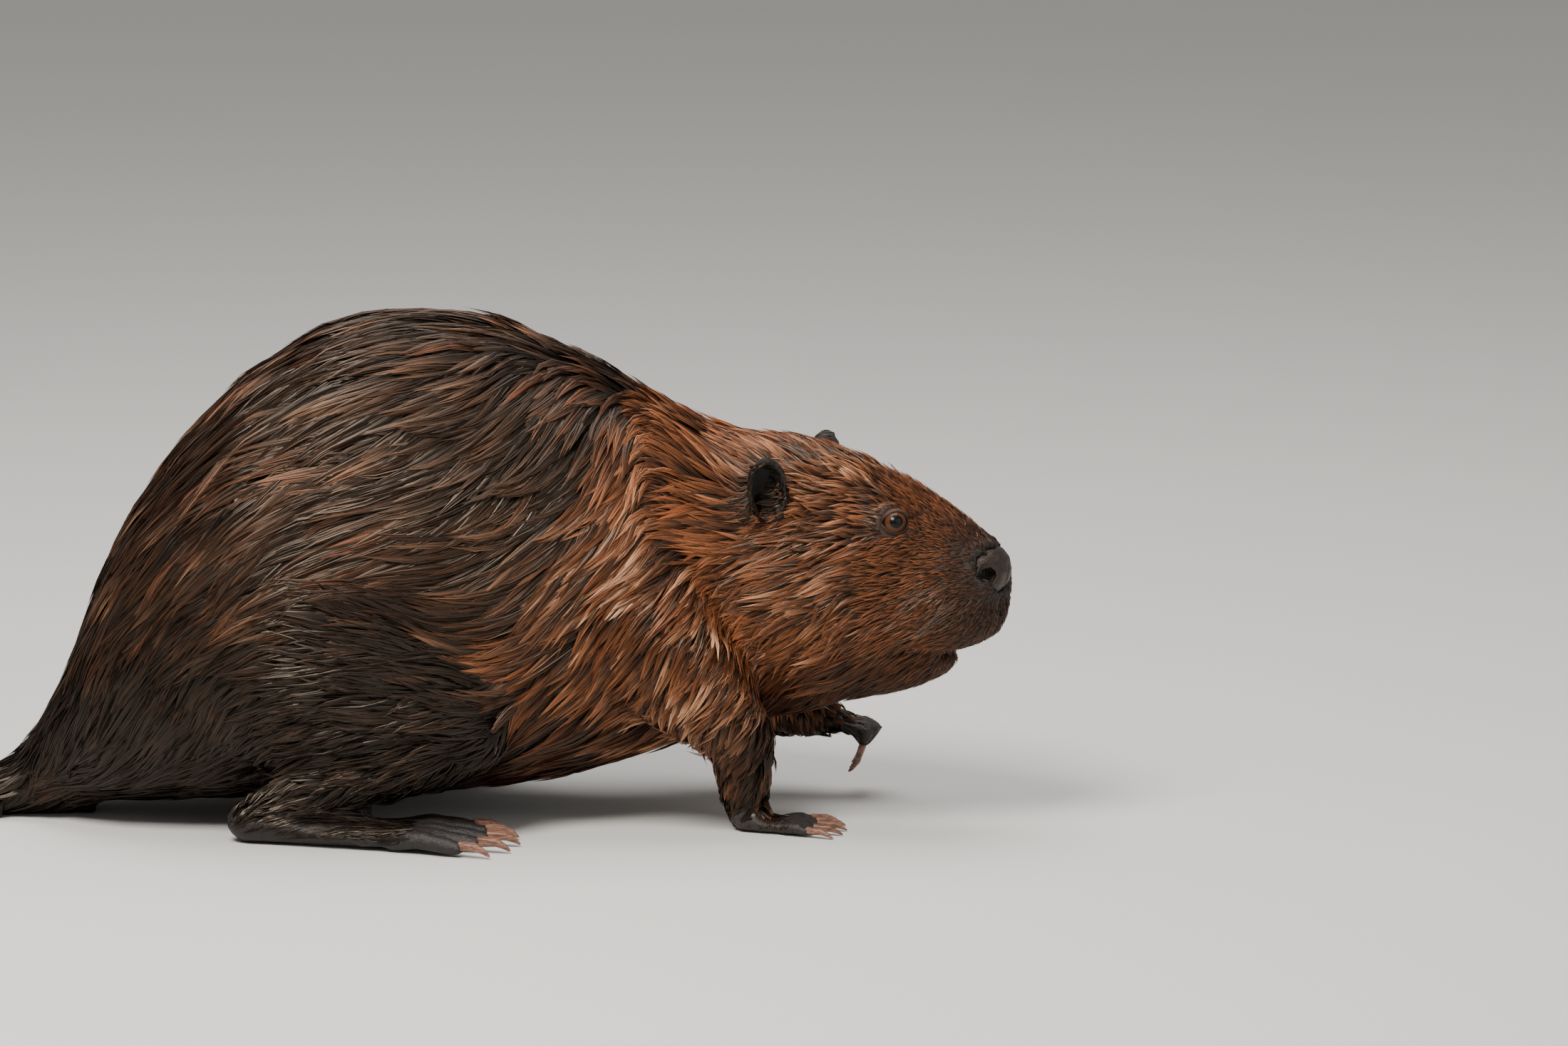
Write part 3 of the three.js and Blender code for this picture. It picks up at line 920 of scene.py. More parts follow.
def ear_black(points: np.ndarray, side: Side) -> np.ndarray:
    """How black the coat is for one ear: on its rim, in its cup and just ahead of it.

    Args:
        points: Places in millimetres.
        side: Which ear.

    Returns:
        A share from 0 to 1 for each place.
    """
    ear = named("ear", side)
    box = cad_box(ear)
    above = ease(points[:, 2], box[0, 2] + 2.0, box[0, 2] + 9.0)
    ahead = to_head(points)[:, 0] - to_head(middle("ear", side)[None, :])[0, 0]
    front = ease(ahead, -4.0, 2.0)
    inside = ease(outside(points, box), 0.0, -2.0) * ease(ahead, -9.0, -3.0)
    close = ease(distance_to(ear, points, 12.0), 3.5 + 6.5 * front, 1.5 + 5.5 * front)
    return 0.92 * np.maximum(close, inside) * above


def marks_and_painted_light(points: np.ndarray) -> np.ndarray:
    """How ruddy the coat is, and its painted highlight, its grey and painted sheen, and its black and
    painted shade.

    Args:
        points: Places in millimetres.

    Returns:
        Four shares from 0 to 1 for each place, the last of them for black and painted shade.
    """
    along, _, up = to_head(points).T
    x, _, z = points.T
    fine = noise(points, 14.0, 4)
    # The painted highlight on the cheek, shoulder, brow and wrist.
    painted_highlight = CHEEK.shown(along, up) + SHOULDER.shown(x, z) + BROW.shown(along, up) + WRIST.shown(x, z)
    # The grey: a painted sheen on the back, and grey on the crown and the muzzle.
    back = ease(z, 120.0, 240.0) * ease(x, 240.0, 150.0)
    crown = ease(along, 20.0, 70.0) * ease(up, 190.0, 215.0)
    muzzle = ease(along, 88.0, 118.0)
    sheen_and_grey = back * (0.75 + 0.35 * noise(points, 42.0, 3))
    sheen_and_grey += 0.5 * crown + 0.7 * muzzle
    blacks_and_shades = [
        *(ear_black(points, side) for side in SIDES),
        0.5 * ease(outside(points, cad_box("nose")), 8.0, 0.0),
        # The haunch, the belly and the throat take painted shade.
        0.8 * ease(z, 190.0, 80.0) * ease(x, 190.0, 110.0),  # the haunch
        0.6 * ease(z, 125.0, 65.0) * ease(x, 226.0, 196.0),  # the belly
        0.6 * ease(up, 128.0, 88.0) * ease(along, -45.0, 0.0),  # the throat
        0.95 * np.exp(-((to_mouth(points) / 3.0) ** 2)),
    ]
    painted_highlight = np.clip(painted_highlight + 0.2 * fine, 0.0, 1.0)
    sheen_and_grey = np.clip(sheen_and_grey, 0.0, 1.0)
    return np.stack([ruddiness(points), painted_highlight, sheen_and_grey, np.max(blacks_and_shades, axis=0)], axis=-1)


@dataclass(frozen=True)
class Lie:
    """How the coat lies near one place: where it points, how long it is and how far this holds."""

    at: tuple[float, float, float]
    way: tuple[float, float, float]
    long: float
    reach: float = 42.0


# On the trunk and legs: forward, out from the middle, and up.
BODY_LIE = (
    Lie((190, 0, 270), (-0.9, 0.1, 0.2), 34),
    Lie((150, 0, 292), (-0.9, 0.1, 0.2), 38),
    Lie((150, 44, 282), (-0.35, 0.5, -0.5), 38, 30),
    Lie((100, 0, 312), (-1, 0.1, 0), 46),
    Lie((40, 0, 312), (-1, 0.05, 0), 50),
    Lie((-20, 0, 285), (-1, 0, -0.4), 50),
    Lie((-80, 0, 225), (-0.75, 0, -0.7), 48),
    Lie((-120, 0, 160), (-0.4, 0, -0.95), 44),
    Lie((-148, 0, 90), (-0.5, 0, -0.85), 36),
    Lie((-168, 0, 52), (-0.95, 0, -0.3), 32, 24),
    Lie((160, 62, 262), (0.25, 0.5, -0.85), 40),
    Lie((186, 74, 215), (0.1, 0.2, -1), 42, 30),
    Lie((150, 84, 225), (-0.45, 0.3, -0.75), 46),
    Lie((110, 88, 245), (-0.9, 0.2, -0.25), 52),
    Lie((40, 88, 255), (-1, 0.15, -0.12), 56),
    Lie((-20, 84, 240), (-0.95, 0.15, -0.4), 52),
    Lie((-70, 76, 205), (-0.75, 0.15, -0.7), 48),
    Lie((130, 102, 185), (-0.9, 0.1, -0.35), 54),
    Lie((70, 112, 190), (-1, 0.05, -0.08), 58),
    Lie((10, 112, 190), (-1, 0.05, -0.12), 56),
    Lie((-50, 104, 170), (-0.85, 0.1, -0.5), 50),
    Lie((-100, 84, 130), (-0.55, 0.1, -0.85), 44),
    Lie((-130, 60, 90), (-0.4, -0.1, -0.9), 38),
    Lie((-150, 40, 60), (-0.7, -0.2, -0.7), 30, 30),
    Lie((165, 98, 130), (-0.7, 0.05, -0.7), 48),
    Lie((150, 96, 80), (-0.6, -0.1, -0.8), 44),
    Lie((115, 116, 120), (-0.75, 0.1, 0.45), 46, 26),
    Lie((88, 124, 92), (-0.8, 0.1, 0.5), 34, 24),
    Lie((60, 126, 140), (-0.95, 0.1, 0.3), 46, 30),
    Lie((10, 128, 150), (-1, 0, 0.02), 46, 30),
    Lie((-40, 118, 140), (-0.85, 0, -0.45), 42, 30),
    Lie((-80, 100, 110), (-0.65, 0, -0.75), 40, 34),
    Lie((20, 130, 90), (-0.98, 0, -0.05), 36, 28),
    Lie((-40, 116, 80), (-0.85, 0, -0.5), 34, 28),
    Lie((95, 118, 62), (-0.85, 0.1, 0.2), 22, 16),
    Lie((20, 116, 40), (-0.95, 0, -0.2), 18, 18),
    Lie((-25, 112, 26), (-0.9, 0, -0.4), 14, 16),
    Lie((120, 0, 15), (-1, 0.1, 0), 34, 60),
    Lie((0, 0, 12), (-1, 0.1, 0), 34, 60),
    Lie((190, 0, 40), (-0.95, 0.1, -0.2), 34),
    Lie((120, 90, 40), (-0.8, -0.2, -0.5), 38, 30),
    Lie((205, 108, 125), (-0.55, 0, -0.85), 40, 26),
    Lie((235, 106, 88), (-0.55, 0, -0.85), 34, 24),
    Lie((262, 88, 60), (-0.3, 0, -0.95), 24, 18),
    Lie((268, 82, 30), (-0.1, 0, -1), 15, 16),
    Lie((310, 60, 62), (0.4, 0, -0.9), 14, 18),
    Lie((-192, 0, 36), (-1, 0, -0.2), 30, 22),
)

# On the neck and head: along the head, out from its middle, and up.
HEAD_LIE = (
    Lie((-70, 0, 250), (-1, 0.05, 0.12), 36, 34),
    Lie((-60, 60, 215), (-1, 0.05, 0.02), 38, 30),
    Lie((-60, 78, 170), (-1, 0.05, -0.12), 40, 30),
    Lie((-55, 78, 125), (-0.92, 0, -0.35), 40, 30),
    Lie((-45, 60, 85), (-0.75, 0, -0.6), 38, 30),
    Lie((-40, 10, 60), (-0.85, 0, -0.35), 34, 36),
    Lie((-20, 0, 240), (-1, 0.06, 0.05), 28, 24),
    Lie((-20, 60, 200), (-1, 0.1, -0.02), 30, 20),
    Lie((15, 0, 236), (-1, 0.08, 0.1), 20, 20),
    Lie((45, 0, 226), (-1, 0.08, 0.25), 15, 16),
    Lie((75, 0, 213), (-1, 0.06, 0.4), 11, 14),
    Lie((100, 0, 198), (-1, 0.05, 0.5), 8, 12),
    Lie((118, 0, 184), (-0.9, 0.1, 0.6), 6, 8),
    Lie((25, 50, 205), (-1, 0.15, 0.02), 18, 14),
    Lie((48, 46, 198), (-1, 0.15, 0.12), 14, 12),
    Lie((70, 38, 206), (-1, 0.2, 0.3), 8, 8),
    Lie((88, 34, 188), (-1, 0.25, 0.1), 8, 9),
    Lie((72, 44, 176), (-1, 0.15, -0.2), 11, 10),
    Lie((50, 56, 165), (-1, 0.12, -0.05), 20, 14),
    Lie((20, 64, 160), (-1, 0.05, -0.05), 28, 20),
    Lie((-10, 70, 140), (-0.98, 0, -0.2), 34, 22),
    Lie((90, 42, 160), (-0.97, 0.25, -0.1), 11, 12),
    Lie((100, 40, 140), (-0.9, 0.25, -0.35), 11, 12),
    Lie((114, 30, 160), (-0.8, 0.5, 0.1), 6, 9),
    Lie((116, 30, 138), (-0.7, 0.5, -0.5), 7, 9),
    Lie((122, 12, 132), (-0.3, 0.5, -0.8), 6, 9),
    Lie((80, 48, 128), (-0.9, 0.12, -0.35), 17, 14),
    Lie((55, 58, 118), (-0.93, 0.05, -0.35), 26, 16),
    Lie((20, 62, 105), (-0.88, 0, -0.45), 32, 20),
    Lie((-10, 58, 85), (-0.8, 0, -0.55), 34, 24),
    Lie((40, 30, 82), (-0.85, 0, -0.45), 26, 18),
    Lie((75, 22, 88), (-0.85, 0.05, -0.45), 17, 14),
    Lie((95, 8, 98), (-0.7, 0.2, -0.65), 10, 10),
)


class CoatMap:
    """The lie of the coat at every vertex of the skin."""

    def __init__(self, skin: Surface, on_head: np.ndarray) -> None:
        """Blend the guides over the skin, each part by its own.

        Args:
            skin: The skin.
            on_head: 1 where the head's guides hold, 0 elsewhere.
        """
        normals = skin.normals()
        body = self._guided(skin.points, BODY_LIE)
        head = self._guided(to_head(skin.points), HEAD_LIE)
        head_way = from_head(head[:, :3], ways=True)
        share = skin.blurred(on_head, 30)[:, None]
        way = skin.blurred(body[:, :3] * (1 - share) + head_way * share, 3)
        self.way = unit(way - normals * (way * normals).sum(1, keepdims=True))
        self.long = skin.blurred(body[:, 3] * (1 - share[:, 0]) + head[:, 3] * share[:, 0], 3)

    @staticmethod
    def _guided(points: np.ndarray, guides: tuple[Lie, ...]) -> np.ndarray:
        """Blend the guides near each place.

        Args:
            points: Places in the guides' frame.
            guides: The guides, given for the left side.

        Returns:
            A direction and a length for each place.
        """
        places = folded(points)
        total = np.zeros((len(points), 4))
        weights = np.zeros(len(points))
        for guide in guides:
            apart = ((places - np.array(guide.at)) ** 2).sum(1) / guide.reach**2
            # The second term keeps a little weight far from every guide.
            weight = np.exp(-0.5 * np.minimum(apart, 60.0)) + 1e-4 / (1.0 + apart) ** 2
            total += weight[:, None] * np.array([*unit(np.array(guide.way)), guide.long])
            weights += weight
        total /= weights[:, None]
        side = np.where(points[:, 1] < 0, -1.0, 1.0)
        total[:, 1] *= side * ease(places[:, 1], 0.0, 34.0)
        return total


# ---------------------------------------------------------------- skin


HEAD_NODES = ("head", "jaw")
LEGS = tuple(named(part, side) for side in SIDES for part in ("hindleg", "foreleg"))
FEET = tuple(named(part, side) for side in SIDES for part in ("hindfoot", "forefoot"))
EARS = tuple(named("ear", side) for side in SIDES)
ENDS = tuple(named(part, side) for side in SIDES for part in ("hindfoot", "forefoot", "ear"))
FLESH = (*HEAD_NODES, "neck", "trunk", "tail_root", *LEGS, *ENDS)
FURRED = ("neck", "trunk", *LEGS)


@dataclass
class Skin:
    """The one skin under the coat, from the solids of flesh."""

    voxel: float = 2.7
    floor: float = 0.02  # the height of the soles, just clear of the floor
    muzzle_depth: float = 1.4  # how deep the coat is at the end of the muzzle
    eye_depth: float = 0.8  # and beside the eyes
    nose_depth: float = 0.5  # and beside the nose pad
    depths: dict = field(
        default_factory=lambda: {
            "head": 8.0,
            "jaw": 4.0,
            "neck": 12.0,
            "trunk": 14.0,
            "tail_root": 6.0,
            "hindleg": 8.0,
            "foreleg": 6.5,
            "hindfoot": 0.5,
            "forefoot": 0.5,
            "ear": 0.2,
        }
    )

    def build(self) -> None:
        """Fuse the flesh, lay it inside the coat and keep what the coat needs to know."""
        outer = Surface.remeshed(FLESH, self.voxel)
        self.part = self._nearest_nodes(outer.points)
        self._smooth(outer)
        self.depth = self._coat_depth(outer)
        points = outer.points + outer.normals() * (self._features(outer.points) - self.depth)[:, None]
        points[:, 2] = np.maximum(points[:, 2], self.floor)
        self.surface = Surface(points, outer.quads)
        self.lie = CoatMap(self.surface, self._among((*HEAD_NODES, "neck")))
        nose_side = ease(distance_to("nose", points, 6.0), 3.0, 0.5)
        self.bare = np.clip(self.surface.blurred(np.maximum(self._among(FEET), nose_side), 4), 0.0, 1.0)

    def _among(self, nodes: tuple[str, ...]) -> np.ndarray:
        """1 at the vertices that belong to some of the solids, 0 at the others."""
        return np.isin(self.part, [FLESH.index(name) for name in nodes]).astype(float)

    def _smooth(self, outer: Surface) -> None:
        """Round off the seams between the solids, the rims of the ears and the lifted paw.

        Args:
            outer: The outline, which is changed.
        """
        outer.relax(8)
        lifted = self._among(("forefoot_left",))
        furred = outer.blurred(self._among(FURRED), 8)[:, None] ** 2
        outer.soften(14, furred + 0.7 * outer.blurred(lifted, 2)[:, None])
        outer.relax(14, outer.blurred(self._among(EARS), 3)[:, None])
        outer.soften(12, outer.blurred(lifted, 4)[:, None])

    def _coat_depth(self, outer: Surface) -> np.ndarray:
        """How deep the coat is.

        Args:
            outer: The outline of the animal, out to the tips of the coat.

        Returns:
            The depth at each vertex, thin towards the nose and the eyes and none on the floor.
        """
        depth = np.array([self._depth_of(name) for name in FLESH])[self.part]
        muzzle = ease(to_head(outer.points)[:, 0], 35.0, 108.0)
        thinned = depth * (1.0 - muzzle) + self.muzzle_depth * muzzle
        depth = np.where(self._among(HEAD_NODES) > 0, thinned, depth)
        for side in SIDES:
            apart = np.linalg.norm(outer.points - middle("eye", side), axis=1)
            depth = np.minimum(depth, self.eye_depth + 7.0 * ease(apart, 9.0, 34.0))
        apart = outside(outer.points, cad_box("nose"))
        depth = np.minimum(depth, self.nose_depth + 6.0 * ease(apart, 0.0, 30.0))
        depth = np.where(outer.points[:, 2] < 2.0, 0.0, depth)
        depth = outer.blurred(depth, 10)
        return np.where(outer.points[:, 2] < 1.0, np.minimum(depth, 0.0), depth)

    @staticmethod
    def _features(points: np.ndarray) -> np.ndarray:
        """How far the face's folds and the fingers rise from the plain skin.

        Args:
            points: Places in millimetres.

        Returns:
            The rise at each, in millimetres.
        """
        rise = np.zeros(len(points))
        for side in SIDES:
            eye = middle("eye", side)
            apart = np.linalg.norm(points - eye, axis=1)
            above = ease(points[:, 2] - eye[2], -6.0, 5.0)
            lid = np.exp(-(((apart - 9.6) / 2.8) ** 2))
            crease = np.exp(-(((apart - 15.5) / 2.4) ** 2))
            rise += lid * (1.4 + 1.6 * above)
            rise -= 1.3 * crease * above
        rise += 1.5 * ease(distance_to("nose", points, 8.0), 7.0, 1.0)
        return rise - 3.2 * np.exp(-((to_mouth(points) / 2.8) ** 2)) + Skin._fingers(points)

    @staticmethod
    def _fingers(points: np.ndarray) -> np.ndarray:
        """How far the fingers of the lifted paw rise, with grooves between them.

        Args:
            points: Places in millimetres.

        Returns:
            The rise at each, in millimetres.
        """
        claws = np.array([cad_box(f"foreclaw_left_{n}").mean(axis=0) for n in range(1, 6)])
        row = claws[-1] - claws[0]
        place = 4.0 * ((points - claws[0]) @ row) / (row @ row)  # 0 at the first claw, 4 at the last
        nearest = np.min(np.linalg.norm(points[:, None] - claws[None], axis=2), axis=1)
        between = 0.5 - 0.5 * np.cos(2.0 * math.pi * place)
        inside = ease(place, -0.3, 0.1) * ease(place, 4.3, 3.9)
        return (1.6 - 2.6 * between**2 * inside) * ease(nearest, 30.0, 16.0)

    def _depth_of(self, name: str) -> float:
        """How deep the coat is over a solid, left and right alike."""
        return self.depths[name.removesuffix("_left").removesuffix("_right")]

    @staticmethod
    def _nearest_nodes(points: np.ndarray) -> np.ndarray:
        """Find the solid nearest to each point.

        Args:
            points: Places in millimetres.

        Returns:
            The solids, as their places in FLESH.
        """
        corners, faces, owner = [], [], []
        for number, name in enumerate(FLESH):
            mesh = bpy.data.objects[name].data
            base = len(corners)
            corners.extend(v.co / MM for v in mesh.vertices)
            faces.extend([base + i for i in p.vertices] for p in mesh.polygons)
            owner.extend([number] * len(mesh.polygons))
        tree = BVHTree.FromPolygons(corners, faces)
        found = np.array([tree.find_nearest(Vector(p))[2] for p in points])
        return np.array(owner)[found]

    def dress(self) -> bpy.types.Object:
        """Make the skin's object, with its marks and painted light and its texture map.

        Returns:
            The object.
        """
        made = self.surface.object("skin", SkinFinish().material())
        carry(made, "Marks", marks_and_painted_light(self.surface.points))
        carry(made, "Bare", self.bare)
        made.data.uv_layers.new(name="OFBake")
        bpy.ops.object.select_all(action="DESELECT")
        made.select_set(True)
        bpy.context.view_layer.objects.active = made
        bpy.ops.object.mode_set(mode="EDIT")
        bpy.ops.mesh.select_all(action="SELECT")
        bpy.ops.uv.smart_project(angle_limit=math.radians(70), island_margin=0.002)
        bpy.ops.object.mode_set(mode="OBJECT")
        flat = np.zeros(len(made.data.loops) * 2, np.float32)
        made.data.uv_layers["OFBake"].uv.foreach_get("vector", flat)
        self.unwrap = flat.reshape(-1, 4, 2)
        self.unwrapped = np.zeros((len(self.surface.points), 2))
        self.unwrapped[self.surface.quads.ravel()] = flat.reshape(-1, 2)
        return settle(made, FLESH)


# ---------------------------------------------------------------- coat


@dataclass(frozen=True)
class Lock:
    """How the locks of one zone are made, in millimetres."""

    area: float  # skin for each lock
    strands: int
    half: float  # half width of the lock at its root
    strand: float  # half width of a strand
    steps: int = 3
    longer: float = 1.0
    wave: float = 0.32
    scatter: float = 0.14
    clump: float = 0.62  # how far a lock's tip closes on the middle of its clump
    group: int = 6  # locks in a clump
    vary: float = 1.0  # how far its locks differ in tone
    shortest: float = 0.72  # the least share of its length
    extra: float = 0.5  # how much more of it there may be
    lowest: float = 0.42  # the least share of the coat's depth at which a tip lies
    higher: float = 0.7  # how much more of it there may be
    sunk: float = 0.4  # how deep in the skin its root is
    drawn: float = 22.0  # how near the middle of a clump a lock is for it to close on it
    stray: float = 0.35  # how far strands stray across the fan
    ragged: float = 0.34  # how much shorter the outer strands may be
    gathered: float = 0.06  # the share of the fan's width left at its tip


class Zone(Enum):
    """The zones of the coat."""

    BODY = Lock(area=42.0, strands=20, half=5.2, strand=0.38, steps=4, longer=1.3, scatter=0.1)
    NECK = Lock(area=24.0, strands=14, half=3.8, strand=0.36, steps=4, longer=1.2)
    HEAD = Lock(
        area=10.0, strands=11, half=2.3, strand=0.24, longer=1.5, wave=0.42, scatter=0.18, vary=0.9
    )
    FACE = Lock(
        area=2.8,
        strands=4,
        half=0.8,
        strand=0.16,
        steps=2,
        wave=0.16,
        scatter=0.2,
        clump=0.3,
        vary=0.55,
    )
    LEG = Lock(area=20.0, strands=12, half=3.0, strand=0.36)
    FOOT = Lock(area=7.0, strands=3, half=0.8, strand=0.24, steps=2, longer=0.8, clump=0.2)
    EAR = Lock(area=3.0, strands=3, half=0.7, strand=0.22, steps=2, longer=0.5, clump=0.2)


NO_ZONE = -1
EAR_CUP = np.array([14.0, 0.0, 0.0])  # ahead of an ear's middle, in the head's frame
EAR_CUP_SIZE = np.array([18.0, 16.0, 24.0])


@dataclass
class Coat:
    """The locks over the skin, and where they leave it bare."""

    skin: Skin
    tail_edge: float = -184.0  # where the coat runs out over the tail
    face_from: float = 62.0  # along the head, where the short hair of the face starts
    toes_from: float = 0.75  # of a foot's length
    eye_gap: float = 8.9  # from an eye's middle
    mouth_gap: float = 2.6
    nose_gap: float = 0.6
    floor: float = 0.4  # how low a strand may hang

    def __post_init__(self) -> None:
        """Index the skin's vertices."""
        self.normals = self.skin.surface.normals()
        self.random = np.random.default_rng(SEED)
        self.tree = self.indexed(self.skin.surface.points)
        self.material = CoatFinish().material()

    @staticmethod
    def indexed(points: np.ndarray) -> KDTree:
        """Index some points.

        Args:
            points: The points.

        Returns:
            A tree that finds the nearest of them.
        """
        tree = KDTree(len(points))
        for number, point in enumerate(points):
            tree.insert(point, number)
        tree.balance()
        return tree

    def nearest(self, points: np.ndarray) -> np.ndarray:
        """The skin vertex nearest to each point."""
        return np.array([self.tree.find(p)[1] for p in points], dtype=np.int64)

    def zones(self) -> np.ndarray:
        """Sort the skin into zones.

        Returns:
            The zone of each quad, as its place in Zone, or NO_ZONE.
        """
        surface = self.skin.surface
        first = surface.quads[:, 0]
        names = np.array(FLESH)[self.skin.part[first]]
        centre = surface.points[surface.quads].mean(1)
        along = to_head(centre)[:, 0]
        head = np.isin(names, HEAD_NODES)
        feet = np.isin(names, FEET)
        zone = np.full(len(names), list(Zone).index(Zone.BODY))
        for chosen, which in (
            (names == "neck", Zone.NECK),
            (np.isin(names, LEGS), Zone.LEG),
            (head, Zone.HEAD),
            (head & (along > self.face_from), Zone.FACE),
            (feet, Zone.FOOT),
            (np.isin(names, EARS), Zone.EAR),
        ):
            zone[chosen] = list(Zone).index(which)
        level = self.normals[first][:, 2]
        zone[feet & ((level < 0.3) | (self._toeward(centre) > self.toes_from))] = NO_ZONE
        zone[(centre[:, 2] < 3.0) & (level < -0.5)] = NO_ZONE
        for side in SIDES:
            eye = np.linalg.norm(centre - middle("eye", side), axis=1)
            zone[head & (eye < self.eye_gap)] = NO_ZONE
        zone[to_mouth(centre) < self.mouth_gap] = NO_ZONE
        near_nose = distance_to("nose", centre, 3.0) < self.nose_gap
        zone[head & (along > 105.0) & near_nose] = NO_ZONE
        return zone

    @staticmethod
    def _toeward(points: np.ndarray) -> np.ndarray:
        """How far along a foot places are.

        Args:
            points: Places on the feet, in millimetres.

        Returns:
            A share for each, from 0 at the heel to 1 at the claws.
        """
        x = points[:, 0]
        hind = (x + 48.0) / 160.0
        fore = np.where(points[:, 1] > 0, (x - 305.0) / 45.0, (x - 255.0) / 55.0)
        return np.where(x < 180.0, hind, fore)

    def scatter(self, zone: np.ndarray, which: Zone) -> dict:
        """Scatter roots over one zone.

        Args:
            zone: The zone of each quad.
            which: The zone to fill.

        Returns:
            The roots' quads and their places within them.
        """
        surface = self.skin.surface
        chosen = np.flatnonzero(zone == list(Zone).index(which))
        areas = surface.areas()[chosen]
        count = int(areas.sum() / which.value.area)
        ends = np.cumsum(areas) / areas.sum()
        draws = (np.arange(count) + self.random.random(count)) / count
        quads = chosen[np.minimum(np.searchsorted(ends, draws), len(chosen) - 1)]
        return {"quads": quads, "at": self.random.random((count, 2))}

    @staticmethod
    def within(values: np.ndarray, at: np.ndarray) -> np.ndarray:
        """Blend values between the four corners of quads.

        Args:
            values: The values at each quad's corners.
            at: A place within each quad, as two shares.

        Returns:
            The blended values.
        """
        a, b = at[:, 0], at[:, 1]
        shares = np.stack([(1 - a) * (1 - b), a * (1 - b), a * b, (1 - a) * b], axis=1)
        if values.ndim == 3:
            shares = shares[:, :, None]
        return (values * shares).sum(1)

    def grow(self, roots: dict, which: Zone) -> dict:
        """Comb a lock from each root over the skin.

        Args:
            roots: Their quads and places within them.
            which: The zone.

        Returns:
            Each lock's spine, its upward and sideways directions, and what its strands carry.
        """
        style, skin, surface = which.value, self.skin, self.skin.surface
        corners = surface.quads[roots["quads"]]
        spot = self.within(surface.points[corners], roots["at"])
        count = len(spot)
        draw = self.random.random
        long = self.within(skin.lie.long[corners], roots["at"]) * style.longer
        long = self._cropped(long * (style.shortest + style.extra * draw(count)), spot)
        # How far a lock turns from the coat's lie, in radians: all along it, and more towards its tip.
        sway = style.wave * (noise(spot, 48.0, 1) + 0.7 * noise(spot, 17.0, 2))
        sway = sway + style.scatter * self.random.standard_normal(count)
        bend = style.wave * 1.6 * noise(spot, 15.0, 5) + 0.2 * self.random.standard_normal(count)
        lift = style.lowest + style.higher * draw(count)
        spine, ups, across = [], [], []
        past = np.zeros((count, 1), bool)  # locks that have left the root of the tail
        up = way = np.zeros((count, 3))
        for step in range(style.steps + 1):
            near = self.nearest(spot)
            level = self.normals[near]
            past = past | ((spot[:, :1] < self.tail_edge) & (step > 0))
            flat = spot - level * ((spot - surface.points[near]) * level).sum(1, keepdims=True)
            spot = np.where(past, spot, flat)
            up = np.where(past, up, level)
            t = step / style.steps
            turn = (sway + bend * (t - 0.3))[:, None]
            lie = skin.lie.way[near]
            combed = unit(lie * np.cos(turn) + np.cross(level, lie) * np.sin(turn))
            way = np.where(past, unit(way * [1.0, 1.0, 0.4]), combed)
            depth = np.maximum(skin.depth[near], 0.7)
            height = (depth * lift * (1.0 - (1.0 - t) ** 1.8) - style.sunk * (1.0 - t))[:, None]
            spine.append(spot + up * height)
            ups.append(up)
            across.append(unit(np.cross(up, way)))
            spot = spot + way * (long / style.steps)[:, None]
        drawn, own = self.clumped(np.stack(spine, 1), style)
        return {
            "spine": drawn,
            "up": np.stack(ups, 1),
            "across": np.stack(across, 1),
            "lot": 0.5 + style.vary * (0.35 * draw(count) + 0.65 * draw(count)[own] - 0.5),
            "uv": self.within(skin.unwrap[roots["quads"]], roots["at"]),
            "root": self.within(surface.points[corners], roots["at"]),
        }

    @staticmethod
    def _cropped(long: np.ndarray, spot: np.ndarray) -> np.ndarray:
        """Shorten the locks that would fill an ear's cup or cover the mouth.

        Args:
            long: The locks' lengths.
            spot: Their roots.

        Returns:
            The new lengths.
        """
        for side in SIDES:
            ahead = to_head(spot) - to_head(middle("ear", side)[None, :])
            apart = np.linalg.norm((ahead - EAR_CUP) / EAR_CUP_SIZE, axis=1)
            long = long * (0.2 + 0.8 * ease(apart, 0.4, 1.4))
        return long * (0.35 + 0.65 * ease(to_mouth(spot), 1.5, 9.0))

    def clumped(self, spine: np.ndarray, style: Lock) -> tuple[np.ndarray, np.ndarray]:
        """Draw each lock towards the middle one of its clump, more so towards its tip.

        Args:
            spine: The locks' spines.
            style: How the zone's locks are made.

        Returns:
            The drawn spines, and for each lock the middle lock of its clump.
        """
        count, rings = spine.shape[:2]
        heads = self.random.permutation(count)[: max(1, count // style.group)]
        tree = self.indexed(spine[heads, 0])
        own = heads[[tree.find(root)[1] for root in spine[:, 0]]]
        offset = spine[:, :1] - spine[own, :1]
        near = np.exp(-((np.linalg.norm(offset, axis=2) / style.drawn) ** 2))
        share = style.clump * near * np.linspace(0.0, 1.0, rings)[None, :] ** 1.4
        target = spine[own] + 0.25 * offset
        return spine + (target - spine) * share[:, :, None], own

    def strands(self, locks: dict, style: Lock) -> dict:
        """Split locks into flat tapering strands that meet near the lock's tip.

        Args:
            locks: What grow made.
            style: How the zone's locks are made.

        Returns:
            The strands' vertices, what these carry, and their texture map.
        """
        count, rings = locks["spine"].shape[:2]
        shape = (count, style.strands)
        spread, length, roll = self._fan(shape, style)
        # Each strand's rings fall between those of the lock's spine, as strands differ in length.
        t = np.linspace(0.0, 1.0, rings)
        reach = (length[:, :, None] * t) * (rings - 1)
        low = np.clip(np.floor(reach).astype(int), 0, rings - 2)
        share = np.clip(reach - low, 0.0, 1.2)[..., None]
        place = self._sampled(locks["spine"], low, share)
        ups = unit(self._sampled(locks["up"], low, share))
        sides = unit(self._sampled(locks["across"], low, share))
